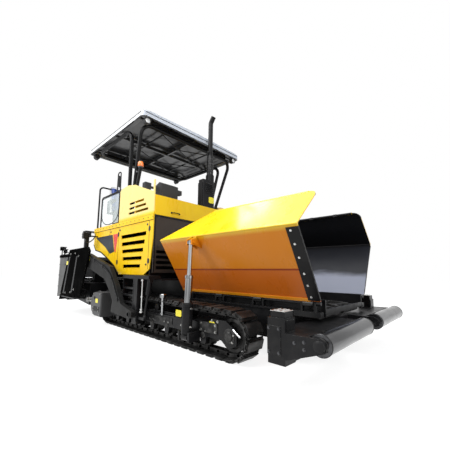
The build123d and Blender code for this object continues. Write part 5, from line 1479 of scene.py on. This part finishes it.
# %% [markdown]
# ### Stitches
#
# Two seams run along each cushion.  One stitch is a grain of thread 8 mm long, and the rule sets
# one every 11 mm along the seam's line.

# %% Rule for stitches
def stitch_rule():
    """A thin grain of thread every so far along each line."""
    tree, source = new_rule("stitch rule", ("Spacing", "Stitch"))
    path = add_node(tree, "GeometryNodeMeshToCurve")
    divide = add_node(tree, "GeometryNodeCurveToPoints", mode="LENGTH")
    ball = add_node(tree, "GeometryNodeMeshIcoSphere", {"Radius": 0.5, "Subdivisions": 1})
    shape = add_node(tree, "GeometryNodeTransform")
    turn = add_node(tree, "FunctionNodeAlignRotationToVector", axis="X")
    place = add_node(tree, "GeometryNodeInstanceOnPoints")
    thin = times(tree, source["Stitch"], 0.32)
    join(tree, (source["Geometry"], path.inputs[0]), (path.outputs[0], divide.inputs["Curve"]),
         (source["Spacing"], divide.inputs["Length"]), (ball.outputs[0], shape.inputs[0]),
         (vector_of(tree, source["Stitch"], thin, thin), shape.inputs["Scale"]),
         (divide.outputs["Tangent"], turn.inputs["Vector"]), (turn.outputs[0], place.inputs["Rotation"]),
         (divide.outputs["Points"], place.inputs["Points"]), (shape.outputs[0], place.inputs["Instance"]))
    end_rule(tree, source, place.outputs[0])
    return tree


STITCH_RULE = stitch_rule()
THREAD = plastic("pale thread", (0.55, 0.57, 0.62), (0.6, 0.8))


def surface_line(piece, start_at, end_at, push, steps=30):
    """Points on a piece's skin under a straight line, looked at along a direction."""
    found = []
    for i in range(steps + 1):
        origin = Vector(start_at).lerp(Vector(end_at), i / steps)
        hit, place, _, _ = piece.ray_cast(origin - Vector(push) * 0.3, push)
        if hit:
            found.append(place - Vector(push) * 0.0008)
    return found


def run_mesh(runs):
    """Open polylines as one mesh of edges."""
    places, edges = [], []
    for run in runs:
        edges += [(len(places) + i, len(places) + i + 1) for i in range(len(run) - 1)]
        places += [tuple(p) for p in run]
    mesh = bpy.data.meshes.new("seam lines")
    mesh.from_pydata(places, edges, [])
    return mesh


print("seam tools ready")

# %% Sew the seams
bpy.context.view_layer.update()
for hand, side in SIDES:
    y = side * SEAT_Y
    # (cushion, way to look at it, first and last point of a seam as x and z)
    for name, direction, (first, last) in (
            ("cushion", (0, 0, -1), ((SEAT_X - 0.14, 2.52), (SEAT_X + 0.20, 2.52))),
            ("backrest", (-0.985, 0, -0.17), ((SEAT_X - 0.16, 2.50), (SEAT_X - 0.26, 2.99)))):
        piece = bpy.data.objects[f"seat_{name}_{hand}"]
        runs = [surface_line(piece, (first[0], y + off, first[1]), (last[0], y + off, last[1]),
                             Vector(direction).normalized()) for off in (-0.11, 0.11)]
        runs = [run for run in runs if len(run) > 2]
        if runs:
            grow(f"seat_{name}_stitches_{hand}", STITCH_RULE, run_mesh(runs),
                 {"Spacing": 0.011, "Stitch": 0.008}, THREAD, "tractor")
print("stitches done")

# %% [markdown]
# ## Console and controls
#
# The operator steers with two levers and a small wheel, and reads a screen.  These are moulded
# plastic and turned steel, and small, so they are built straight in mesh code.

# %% Make the console's face, buttons and screens
SCREEN = foil("dark screen", (0.012, 0.016, 0.022), (0.06, 0.12))
shape = bmesh.new()
# slanted face panel of the console with its rim
prism(shape, [(-0.245, 2.868), (-0.505, 2.705), (-0.512, 2.718), (-0.252, 2.882)], 1, -0.575, -0.195, 0.004)
close(shape, "console_face", "tractor", GREY_PLASTIC)
shape = bmesh.new()
slope = Vector((-0.260, 0, -0.163)).normalized()
up = Vector((-slope.z, 0, slope.x)) * -1
for i in range(4):
    for j in range(3):
        place = Vector((-0.290, -0.540 + 0.055 * j, 2.862)) + slope * (0.045 * i)
        turned(shape, [(0.0, 0.014), (0.010, 0.014), (0.012, 0.010), (0.012, -0.01)], place, up, 12)
for y in (-0.32, -0.26):
    base = Vector((-0.40, y, 2.80))
    turned(shape, [(0.0, 0.0), (0.026, 0.0), (0.020, 0.020), (0.006, 0.026), (0.006, 0.10), (0.014, 0.115),
                   (0.017, 0.14), (0.012, 0.155), (0.0, 0.158)], base, up, 16)
close(shape, "console_buttons", "tractor", DARK_PLASTIC)
shape = bmesh.new()
slab(shape, (-0.345, -0.165, 2.762), (-0.338, -0.015, 2.858), 0.002)
slab(shape, (-0.505, -0.845, 2.775), (-0.498, -0.735, 2.885), 0.002)
close(shape, "screens", "tractor", SCREEN)
print("console done")

# %% Make the steering wheel and the armrests
shape = bmesh.new()
hub, WHEEL_R = Vector((-0.455, -0.385, 2.835)), 0.15
ring = [hub + slope * (WHEEL_R * math.cos(math.tau * k / 16))
        + Vector((0, WHEEL_R * math.sin(math.tau * k / 16), 0)) for k in range(16)]
tube(shape, ring, 0.012, closed=True)
turned(shape, [(0.0, 0.012), (0.03, 0.010), (0.036, 0.0), (0.03, -0.04), (0.022, -0.09), (0.022, -0.12)], hub,
       up, 20)
for k in range(3):
    angle = math.tau * k / 3 + 0.5
    end = hub + slope * (WHEEL_R * math.cos(angle)) + Vector((0, WHEEL_R * math.sin(angle), 0))
    tube(shape, [hub, hub.lerp(end, 0.5), end], 0.007)
close(shape, "steering_wheel", "tractor", DARK_PLASTIC)
# armrest tops with levers
for hand, side in SIDES:
    shape = bmesh.new()
    for offset in (-0.26, 0.26):
        y = side * SEAT_Y + offset
        slab(shape, (-1.68, y - 0.028, 2.640), (-1.30, y + 0.028, 2.668), 0.012)
    turned(shape, [(0.0, 0.0), (0.024, 0.0), (0.018, 0.018), (0.006, 0.024), (0.006, 0.09), (0.015, 0.105),
                   (0.018, 0.135), (0.0, 0.150)], (-1.335, side * SEAT_Y + 0.26, 2.665), (0.2, 0, 1), 16)
    close(shape, f"armrests_{hand}", "tractor", DARK_PLASTIC)
print("controls done")

# %% [markdown]
# ## Canopy
#
# The roof is a moulded shell: white outside, black coffers inside, with a bluish front edge.
# One shell again carries three finishes, and the normal tells them apart.  A dark sealing lip
# runs round the top and the foot of the fascia, thin tubes brace the frame, and the lamps get
# their lenses.

# %% Roof finish
ROOF_LOW, ROOF_FASCIA, ROOF_FRONT, ROOF_REAR, ROOF_SIDE = 3.890, 0.095, 0.275, -2.240, 1.353


def roof_finish():
    """White shell, black underside and inside, grey-blue front."""
    material = ROOF_WHITE.copy()
    material.name = "canopy shell"
    tree, shader = material.node_tree, material.node_tree.nodes["Principled BSDF"]
    painted = shader.inputs["Base Color"].links[0].from_socket
    place, face = place_and_face(tree)
    below = spread(tree, face.outputs[2], 0.35, 0.25)
    beyond_side = spread(tree, place.outputs[1], ROOF_SIDE - 0.030, ROOF_SIDE - 0.022)
    other_side = spread(tree, place.outputs[1], 0.030 - ROOF_SIDE, 0.022 - ROOF_SIDE)
    ahead = spread(tree, place.outputs[0], ROOF_FRONT - 0.030, ROOF_FRONT - 0.022)
    behind = spread(tree, place.outputs[0], ROOF_REAR + 0.030, ROOF_REAR + 0.022)
    outside = times(tree, times(tree, beyond_side, other_side, "MAXIMUM"),
                    times(tree, ahead, behind, "MAXIMUM"), "MAXIMUM")
    lower = spread(tree, face.outputs[2], -0.35, -0.25)
    hidden = times(tree, times(tree, times(tree, outside, -1.0), 1.0, "ADD"), below)
    dark = times(tree, hidden, times(tree, times(tree, lower, -1.0), 1.0, "ADD"), "MAXIMUM")
    fronted = tint(tree, times(tree, spread(tree, face.outputs[0], 0.5, 0.8), ahead), painted,
                   (0.50, 0.54, 0.61))
    join(tree, (tint(tree, dark, fronted, (0.020, 0.020, 0.022)), shader.inputs["Base Color"]))
    return material


dress("canopy_roof", roof_finish())
print("roof dressed")

# %% [markdown]
# ### Lip and braces
#
# The sealing lip and the crossed tubes under the shell are thin, so each is one piece.

# %% Make the canopy's trim and braces
shape = bmesh.new()
lip = ROOF_LOW + ROOF_FASCIA
for y0, y1, x0, x1 in ((-ROOF_SIDE - 0.004, -ROOF_SIDE + 0.002, ROOF_REAR + 0.06, ROOF_FRONT - 0.06),
                       (ROOF_SIDE - 0.002, ROOF_SIDE + 0.004, ROOF_REAR + 0.06, ROOF_FRONT - 0.06),
                       (-ROOF_SIDE + 0.06, ROOF_SIDE - 0.06, ROOF_FRONT - 0.002, ROOF_FRONT + 0.004),
                       (-ROOF_SIDE + 0.06, ROOF_SIDE - 0.06, ROOF_REAR - 0.004, ROOF_REAR + 0.002)):
    slab(shape, (x0, y0, lip - 0.016), (x1, y1, lip - 0.004), 0.0015)
    slab(shape, (x0, y0, ROOF_LOW + 0.002), (x1, y1, ROOF_LOW + 0.010), 0.0015)
close(shape, "roof_lip", "tractor", BLACK)
shape = bmesh.new()
brace_z = ROOF_LOW + 0.012
for x0, x1 in ((-1.86, -0.95), (-0.89, 0.03)):
    for a, b in ((-1.0, 1.0), (1.0, -1.0)):
        middle = ((x0 + x1) / 2, 0.0, brace_z)
        tube(shape, [(x0, a * 0.96, brace_z), middle, (x1, b * 0.96, brace_z)], 0.011, sides=3)
for y in (-0.64, 0.64):
    slab(shape, (-2.19, y - 0.015, ROOF_LOW + 0.02), (0.22, y + 0.015, ROOF_LOW + 0.05), 0.004)
close(shape, "roof_braces", "tractor", BLACK)
bolts("roof_bolts", [(x, y, ROOF_LOW) for x in (-1.90, 0.07) for y in (-0.9, -0.3, 0.3, 0.9)], (0, 0, -1),
      0.028, "tractor", DARK_BOLT)
print("roof trim done")

# %% [markdown]
# ### Lamps and beacon
#
# A lamp is a dark rim round a ribbed lens, and the beacon a tinted dome.  All are turned parts.

# %% Make the lamps' lenses and the beacon's dome
LAMP_Z, LAMP_Y = 3.850, 1.218
for place, x, way in (("front", 0.251 - 0.034, 1), ("rear", -2.216 + 0.034, -1)):
    bezel, glass = bmesh.new(), bmesh.new()
    for y in (-LAMP_Y, LAMP_Y):
        turned(bezel, [(0.050, 0.0), (0.066, 0.0), (0.068, 0.010), (0.062, 0.018), (0.052, 0.014)],
               (x, y, LAMP_Z), (way, 0, 0), 32)
        turned(glass, [(0.0, 0.016), (0.020, 0.0155), (0.038, 0.013), (0.051, 0.008), (0.052, 0.0)],
               (x, y, LAMP_Z), (way, 0, 0), 32)
    close(bezel, f"lamp_rims_{place}", "tractor", DARK_PLASTIC)
    close(glass, f"lamp_lenses_{place}", "tractor", CLEAR_LENS)
BEACON = (-0.08, -1.152, 3.02)
shape = bmesh.new()
turned(shape, [(0.049, 0.030), (0.053, 0.036), (0.053, 0.095), (0.048, 0.115), (0.032, 0.130), (0.0, 0.136)],
       BEACON, (0, 0, 1), 32)
close(shape, "beacon_dome", "tractor", ORANGE_LENS)
shape = bmesh.new()
for z in (2.30, 2.60):
    turned(shape, [(0.033, 0.0), (0.040, 0.003), (0.040, 0.027), (0.033, 0.03)], (-0.175, -1.152, z + 0.35),
           (0.27, 0, 1), 24)
close(shape, "beacon_clamps", "tractor", DARK_BOLT)
print("canopy and lamps done")

# %% [markdown]
# ## Panes and mirrors
#
# A rubber channel holds each pane in its tube, and a mirror shell hangs beside it.

# %% Make the pane's channel and the mirror
PANE = (-1.675, -0.835, 2.05, 2.685, 1.187)
for hand, side in SIDES:
    x0, x1, z0, z1, y = PANE
    shape = bmesh.new()
    tube(shape, [(x0, side * y, z0), (x0, side * y, z1 - 0.05), (x0 + 0.012, side * y, z1 - 0.012),
                 (x0 + 0.05, side * y, z1), (x1 - 0.05, side * y, z1), (x1 - 0.012, side * y, z1 - 0.012),
                 (x1, side * y, z1 - 0.05), (x1, side * y, z0)], 0.009, closed=True, sides=3)
    for x in (x0 - 0.012, x1 + 0.012):
        for z in (2.18, 2.55):
            slab(shape, (x - 0.026, side * (y - 0.010), z - 0.02), (x + 0.026, side * (y + 0.008), z + 0.02),
                 0.003)
    close(shape, f"pane_channel_{hand}", "tractor", DARK_PLASTIC)
    shape = bmesh.new()
    slab(shape, (-0.905, side * 1.165, 2.80), (-0.865, side * 1.205, 3.06), 0.012)
    close(shape, f"mirror_shell_{hand}", "tractor", DARK_PLASTIC)
print("panes done")

# %% [markdown]
# ## Push beam and steps
#
# The end blocks are boxes with a grip step on top.  Raised studs keep boots from slipping; the
# stud rule covers every tread on the machine with the same lozenge.

# %% Make the push beam's trim
BEAM_FRONT, BEAM_END, STEP_TOP = 3.170, 1.440, 0.690
for hand, side in SIDES:
    inner, outer = sorted((side * (BEAM_END - 0.170), side * (BEAM_END - 0.020)))
    shape = bmesh.new()
    slab(shape, (3.006, inner - 0.006, STEP_TOP - 0.001), (3.162, outer + 0.006, STEP_TOP + 0.003), 0.001)
    close(shape, f"beam_step_plate_{hand}", "push_beam", BRIGHT_ZINC)
    studs(f"beam_step_studs_{hand}", (3.02, inner, STEP_TOP + 0.003), (3.15, outer, STEP_TOP + 0.003), 2, 1,
          0.034, (0.026, 0.009, 0.005), "push_beam", BRIGHT_ZINC)
    shape = bmesh.new()
    # step's side plate with its folded lip, cap on the roller's shaft, cover plate on the block
    slab(shape, (3.000, side * (BEAM_END - 0.188), 0.634), (3.165, side * (BEAM_END - 0.176), 0.69), 0.002)
    turned(shape, [(0.0, 0.020), (0.030, 0.020), (0.048, 0.012), (0.052, 0.0)], (3.48, side * 1.436, 0.45),
           (0, side, 0), 28)
    slab(shape, (2.985, side * (BEAM_END - 0.004), 0.30), (3.130, side * (BEAM_END + 0.006), 0.56), 0.003)
    slab(shape, (BEAM_FRONT - 0.003, side * 1.27, 0.52), (BEAM_FRONT + 0.005, side * 1.42, 0.615), 0.003)
    close(shape, f"beam_covers_{hand}", "push_beam", BLACK)
    heads = [(x, side * (BEAM_END + 0.006), z) for x in (3.005, 3.110) for z in (0.325, 0.535)]
    heads += [(3.35, side * 1.440, 0.40), (3.35, side * 1.440, 0.46), (3.26, side * 1.440, 0.44)]
    bolts(f"beam_bolts_{hand}", heads, (0, side, 0), 0.022, "push_beam", DARK_BOLT)
print("push beam done")

# %% Make the rollers' collars and all treads
for hand, side in SIDES:
    shape = bmesh.new()
    # end collars and outer cap of the roller
    for y in (0.212, 1.386):
        turned(shape, [(0.0945, 0.0), (0.0975, 0.002), (0.0975, 0.010), (0.0945, 0.012)],
               (3.48, side * y, 0.45), (0, side, 0), 40)
    turned(shape, [(0.0, 0.004), (0.055, 0.004), (0.062, 0.0)], (3.48, side * 1.4002, 0.45), (0, side, 0), 28)
    close(shape, f"roller_collars_{hand}", f"push_roller_{hand}", TRACK_STEEL)
    studs(f"walkway_tread_{hand}", (0.02, side * 1.20 - 0.05, 0.974),
          (0.32, side * 1.20 + 0.30 * side, 0.974),
          2, 1, 0.05, (0.030, 0.010, 0.004), "tractor", BLACK)
    low_y, high_y = sorted((side * 0.42, side * 1.10))
    studs(f"deck_tread_{hand}", (-1.95, low_y, 2.0201), (-1.72, high_y, 2.0201), 2, 1, 0.062,
          (0.034, 0.011, 0.004), "tractor", BLACK)
    inner, outer = sorted((side * 0.10, side * 1.40))
    studs(f"screed_tread_{hand}", (-3.42, inner, 0.4302), (-3.18, outer, 0.4302), 2, 1, 0.060,
          (0.034, 0.011, 0.004), f"extension_{hand}", BLACK)
studs("deck_tread_middle", (-1.95, -0.38, 2.0201), (-0.62, 0.38, 2.0201), 2, 1, 0.066,
      (0.036, 0.012, 0.004), "tractor", BLACK)
print("treads done")

# %% [markdown]
# ## Track frames and running gear
#
# Roller caps, axle bolts and the idler's tensioner show between the track's runs.  Hydraulic
# pipes run along the frame in clips; each is rigid pipe on one body, so no pipe crosses a joint.

# %% Make the running gear's caps and bolts
ROLLER_XS = [-0.54 + (1.860 + 0.54) * i / 6 for i in range(7)]
for hand, side in SIDES:
    shape = bmesh.new()
    y = side * 1.220
    for x in ROLLER_XS:
        turned(shape, [(0.0, 0.014), (0.020, 0.014), (0.036, 0.008), (0.040, 0.0)], (x, y, 0.245),
               (0, side, 0), 24)
    turned(shape, [(0.0, 0.030), (0.045, 0.030), (0.055, 0.022), (0.058, 0.008), (0.085, 0.006),
                   (0.088, 0.0)], (2.31, y, 0.30), (0, side, 0), 32)
    slab(shape, (1.80, y - side * 0.001, 0.285), (2.12, y + side * 0.010, 0.415), 0.003)
    slab(shape, (0.60, y - side * 0.001, 0.275), (1.20, y + side * 0.008, 0.365), 0.003)
    close(shape, f"axle_caps_{hand}", "tractor", TRACK_STEEL)
    heads = [(x + dx, side * 1.222, 0.300) for x in ROLLER_XS for dx in (-0.05, 0.05)]
    heads += [(x, side * 1.231, z) for x in (1.83, 2.09) for z in (0.31, 0.39)]
    heads += [(2.02, side * 1.222, 0.44), (2.12, side * 1.222, 0.44), (2.38, side * 1.222, 0.32),
              (2.36, side * 1.222, 0.24)]
    bolts(f"frame_bolts_{hand}", heads, (0, side, 0), 0.024, "tractor", ZINC)
print("running gear done")

# %% Make the frames' rods, pipes and drive covers
for hand, side in SIDES:
    # bright rods, then the pipes along the frame and their clips
    shape = bmesh.new()
    tube(shape, [(2.39, side * 1.245, 0.39), (2.445, side * 1.25, 0.355), (2.50, side * 1.25, 0.32)], 0.012)
    tube(shape, [(0.95, side * 1.232, 0.66), (0.95, side * 1.232, 0.50), (0.95, side * 1.232, 0.385)], 0.020)
    turned(shape, [(0.0, 0.034), (0.044, 0.034), (0.050, 0.026), (0.050, -0.016), (0.040, -0.026),
                   (0.0, -0.026)], (0.95, side * 1.232, 0.665), (0, 0, 1), 24)
    for z in (0.40, 0.52):
        turned(shape, [(0.021, 0.0), (0.034, 0.002), (0.034, 0.018), (0.021, 0.02)], (0.95, side * 1.232, z),
               (0, 0, 1), 20)
    close(shape, f"bright_rods_{hand}", "tractor", CHROME)
    shape = bmesh.new()
    for rise, start_x, end_x in ((0.018, -0.30, 1.58), (0.040, 0.52, 1.52)):
        z = 0.395 + rise
        tube(shape, [(start_x, side * 1.205, 0.40), (start_x + 0.04, side * 1.205, z),
                     (start_x + 0.30, side * 1.205, z), ((start_x + end_x) / 2, side * 1.205, z),
                     (end_x - 0.20, side * 1.205, z), (end_x - 0.03, side * 1.205, z),
                     (end_x, side * 1.205, 0.38)], 0.009)
    for x in (0.10, 0.70, 1.30):
        slab(shape, (x - 0.018, side * 1.190, 0.394), (x + 0.018, side * 1.222, 0.452), 0.003)
    close(shape, f"frame_pipes_{hand}", "tractor", BLACK)
    # hatch, plug and bolts of the drive cover
    shape = bmesh.new()
    slab(shape, (-1.02, side * 1.4995, 0.27), (-0.74, side * 1.506, 0.36), 0.003)
    turned(shape, [(0.0, 0.012), (0.022, 0.012), (0.030, 0.0)], (-0.97, side * 1.4995, 0.52), (0, side, 0),
           24)
    close(shape, f"cover_hatch_{hand}", "tractor", ARM_GREY)
    heads = [(x, side * 1.500, z) for x in (-1.01, -0.72) for z in (0.22, 0.60)]
    heads += [(x, side * 1.506, z) for x in (-1.0, -0.76) for z in (0.285, 0.345)]
    bolts(f"cover_bolts_{hand}", heads, (0, side, 0), 0.022, "tractor", ZINC)
print("track frames done")

# %% [markdown]
# ## Tow arms, lift and hydraulics
#
# The arm is a welded box.  Its cap at the tow point, its bolts and the two pipes clipped along it
# tell its scale.

# %% Make the arms' fittings
for hand, side in SIDES:
    y = side * 1.500
    shape = bmesh.new()
    turned(shape, [(0.0, 0.010), (0.030, 0.010), (0.034, 0.004), (0.072, 0.004), (0.075, 0.0)],
           (0.400, y, 0.360), (0, side, 0), 32)
    slab(shape, (-2.33, y - side * 0.001, 1.16), (-2.12, y + side * 0.008, 1.38), 0.004)
    close(shape, f"tow_caps_{hand}", "screed", ARM_GREY)
    heads = [(x, y + side * 0.008, z) for z in (1.19, 1.35) for x in (-2.30, -2.15)]
    bolts(f"arm_bolts_{hand}", heads, (0, side, 0), 0.030, "screed", ZINC)
    shape = bmesh.new()
    edge = [(0.02, 0.600), (-0.115, 0.780), (-0.40, 1.105), (-0.95, 1.255), (-1.49, 1.398), (-2.30, 1.398)]
    for drop in (0.022, 0.046):
        tube(shape, [(x, y + side * 0.010, z - drop - 0.02) for x, z in edge], 0.008, sides=3)
    for x, z in ((-0.27, 0.955), (-0.68, 1.18), (-1.10, 1.296), (-1.75, 1.398), (-2.05, 1.398)):
        slab(shape, (x - 0.016, y - side * 0.001, z - 0.085), (x + 0.016, y + side * 0.022, z - 0.022), 0.003)
    close(shape, f"arm_pipes_{hand}", "screed", BLACK)
print("arms done")

# %% [markdown]
# ### Tow posts
#
# The posts stand on the tractor while the arms move, so their fittings are pieces of their own.

# %% Make the posts' rails, the boxes and the tow gauges
for hand, side in SIDES:
    shape = bmesh.new()
    for x in (0.335, 0.452):
        slab(shape, (x, side * 1.399, 0.24), (x + 0.013, side * 1.405, 0.90), 0.002)
    slab(shape, (-1.845, side * 1.519, 1.76), (-1.755, side * 1.526, 1.88), 0.003)
    for i in range(6):
        turned(shape, [(0.0, 0.010), (0.008, 0.010), (0.009, 0.0)],
               (-1.825 + 0.025 * (i % 3), side * 1.525, 1.80 + 0.04 * (i // 3)),
               (0, side, 0), 12)
    tube(shape, [(-1.80, side * 1.46, 1.755), (-1.80, side * 1.46, 1.69), (-1.84, side * 1.42, 1.66),
                 (-1.90, side * 1.32, 1.70), (-1.93, side * 1.22, 1.80), (-1.93, side * 1.19, 1.90)], 0.012)
    close(shape, f"post_and_box_{hand}", "tractor", DARK_PLASTIC)
    # level gauge of the tow point: a bright rod in collars beside the post
    shape = bmesh.new()
    tube(shape, [(0.575, side * 1.372, z) for z in (0.922, 0.66, 0.395)], 0.011)
    for z, radius in ((0.900, 0.024), (0.640, 0.019), (0.440, 0.024), (0.405, 0.032)):
        turned(shape, [(0.010, -0.014), (radius, -0.012), (radius, 0.012), (0.010, 0.014)],
               (0.575, side * 1.372, z), (0, 0, 1), 20)
    close(shape, f"tow_gauge_{hand}", "tractor", BRIGHT_ZINC)
print("posts done")

# %% [markdown]
# ### Wing cylinders
#
# A gland closes each tube where the next one slides out, and oil enters by two ports.  Each gland
# rides on its own tube, so it follows the stroke.

# %% Make the wing cylinders' glands and ports
for hand, side in SIDES:
    foot, eye = Vector((1.68, side * 1.350, 0.210)), Vector((1.68, side * 1.310, 1.440))
    rise = (eye - foot).normalized()
    for name, at, radius, slot, material in (("barrel", 0.405, 0.073, "black_paint", BLACK),
                                             ("stage", 0.772, 0.051, "chrome_rod", CHROME)):
        shape = bmesh.new()
        turned(shape, [(radius - 0.003, -0.030), (radius + 0.007, -0.026), (radius + 0.007, 0.010),
                       (radius - 0.004, 0.016)], foot + rise * at, rise, 32)
        close(shape, f"wing_{name}_gland_{hand}", f"wing_{name}_{hand}", material)
    shape = bmesh.new()
    for level in (0.13, 0.36):
        base = foot + rise * level + Vector((0.068, 0, 0))
        turned(shape, [(0.0, 0.030), (0.010, 0.030), (0.011, 0.012), (0.016, 0.010), (0.017, 0.0)], base,
               (1, 0, 0), 12)
    close(shape, f"wing_ports_{hand}", f"wing_barrel_{hand}", ZINC)
print("cylinders done")

# %% [markdown]
# ## Conveyor chains
#
# Two chains pull each slatted floor.  Link plates repeat every 100 mm, and every second pair
# stands wider than the next, so the chain rule alternates them by its index.

# %% Rule for the conveyor chains
def chain_rule():
    """Two link plates and a pin at every point; every second pair is wider."""
    tree, source = new_rule("chain rule", ("Pitch", "Link height"))
    long, tall = times(tree, source["Pitch"], 1.18), source["Link height"]
    parts = []
    for y in (-0.0105, 0.0105):
        parts.append(box_part(tree, vector_of(tree, long, 0.0045, tall), vector_of(tree, y=y)))
    parts.append(round_part(tree, 0.0085, 0.034, 10, vector_of(tree, times(tree, source["Pitch"], 0.5)),
                            (math.pi / 2, 0, 0)))
    order = add_node(tree, "GeometryNodeInputIndex")
    odd = times(tree, order.outputs[0], 2.0, "MODULO")
    wide = times(tree, times(tree, odd, 0.42), 0.9, "ADD")
    points = add_node(tree, "GeometryNodeMeshToPoints")
    place = add_node(tree, "GeometryNodeInstanceOnPoints")
    join(tree, (source["Geometry"], points.inputs["Mesh"]), (points.outputs[0], place.inputs["Points"]),
         (together(tree, *parts), place.inputs["Instance"]),
         (vector_of(tree, 1.0, wide, 1.0), place.inputs["Scale"]))
    end_rule(tree, source, place.outputs[0])
    return tree


CHAIN_RULE = chain_rule()
for hand, side in SIDES:
    places = [(-1.38 + 0.1 * i, side * y, 0.6215) for y in (0.115, 0.555) for i in range(44)]
    grow(f"conveyor_chains_{hand}", CHAIN_RULE, carrier_of(places), {"Pitch": 0.1, "Link height": 0.020},
         OILED_STEEL, "tractor")
print("chains done")

# %% [markdown]
# ## Screed
#
# Behind the augers the screed is a stack of plates with a folding foot board.  Its side plates
# carry the screed worker's boxes, and ribs and bolts give the large plates their scale.

# %% Make the side plates' fittings
for hand, side in SIDES:
    body = f"extension_{hand}"
    shape = bmesh.new()
    # lids and round keys of the boxes on their posts
    for x, z, half in ((-3.24, 1.60, 0.055), (-3.03, 1.53, 0.035)):
        y = side * 1.48
        slab(shape, (x - half - 0.004, y - half - 0.004, z + 0.030),
             (x + half + 0.004, y + half + 0.004, z + 0.046), 0.004)
        for i in range(4):
            turned(shape, [(0.0, 0.009), (0.007, 0.009), (0.008, 0.0)],
                   (x + half + 0.003, y - half * 0.6 + half * 0.4 * i, z - 0.005), (1, 0, 0), 12)
    # grab bar on the side plate's inner top
    tube(shape, [(-3.38, side * 1.43, 1.445), (-3.38, side * 1.40, 1.49), (-3.28, side * 1.40, 1.50),
                 (-3.12, side * 1.40, 1.50), (-3.02, side * 1.40, 1.49), (-3.02, side * 1.43, 1.445)], 0.011)
    close(shape, f"screed_boxes_{hand}", body, DARK_PLASTIC)
    shape = bmesh.new()
    for z in (0.62, 0.90, 1.18):
        slab(shape, (-3.48, side * 1.479, z), (-3.02, side * 1.487, z + 0.035), 0.003)
    close(shape, f"screed_side_ribs_{hand}", body, SCREED_GREY)
    heads = [(x, side * 1.551, z) for x, z in (
        (-2.95, 0.48), (-2.60, 0.52), (-2.25, 0.55), (-2.05, 0.62), (-2.42, 1.42), (-2.10, 1.43),
        (-1.88, 1.36))]
    bolts(f"end_plate_bolts_{hand}", heads, (0, side, 0), 0.030, body, ZINC)
    shape = bmesh.new()
    slab(shape, (-2.86, side * 1.549, 0.415), (-1.98, side * 1.556, 0.440), 0.003)
    for foot_x, foot_z, head_x in ((-2.78, 0.50, -2.50), (-2.22, 0.55, -2.02)):
        rib = [(foot_x, foot_z), (foot_x + 0.08, foot_z), (head_x + 0.08, 1.36), (head_x, 1.36)]
        prism(shape, rib, 1, side * 1.549, side * 1.557, 0.003)
    close(shape, f"end_plate_ribs_{hand}", body, BLACK)
print("side plates done")

# %% Make the foot boards', the main screed's and the augers' fittings
for hand, side in SIDES:
    shape = bmesh.new()
    # handles of the folding board, on its rear face
    for y in (0.45, 1.05):
        tube(shape, [(-3.500, side * (y - 0.07), 1.28), (-3.475, side * (y - 0.07), 1.28),
                     (-3.475, side * (y + 0.07), 1.28), (-3.500, side * (y + 0.07), 1.28)], 0.007)
    close(shape, f"board_handles_{hand}", f"walkway_{hand}", DARK_BOLT)
    shape = bmesh.new()
    # gas box and pipe on the main screed
    slab(shape, (-2.48, side * 0.20, 0.758), (-2.30, side * 0.70, 0.80), 0.006)
    tube(shape, [(-2.30, side * 0.30, 0.79), (-2.10, side * 0.30, 0.84), (-2.02, side * 0.34, 0.85),
                 (-2.02, side * 0.70, 0.85)], 0.012)
    close(shape, f"screed_pipes_{hand}", "screed", BLACK)
    heads = [(x, side * y, 0.76) for x in (-2.52, -1.95) for y in (0.15, 0.45, 0.75, 1.05)]
    bolts(f"screed_bolts_{hand}", heads, (0, 0, 1), 0.028, "screed", ZINC)
    # clamps of the augers' flights
    shape = bmesh.new()
    for y in (0.20, 0.62, 1.04):
        turned(shape, [(0.0455, 0.0), (0.058, 0.003), (0.058, 0.037), (0.0455, 0.04)],
               (-1.68, side * y, 0.42), (0, side, 0), 24)
    close(shape, f"auger_clamps_{hand}", f"auger_{hand}", DARK_BOLT)
print("screed done")
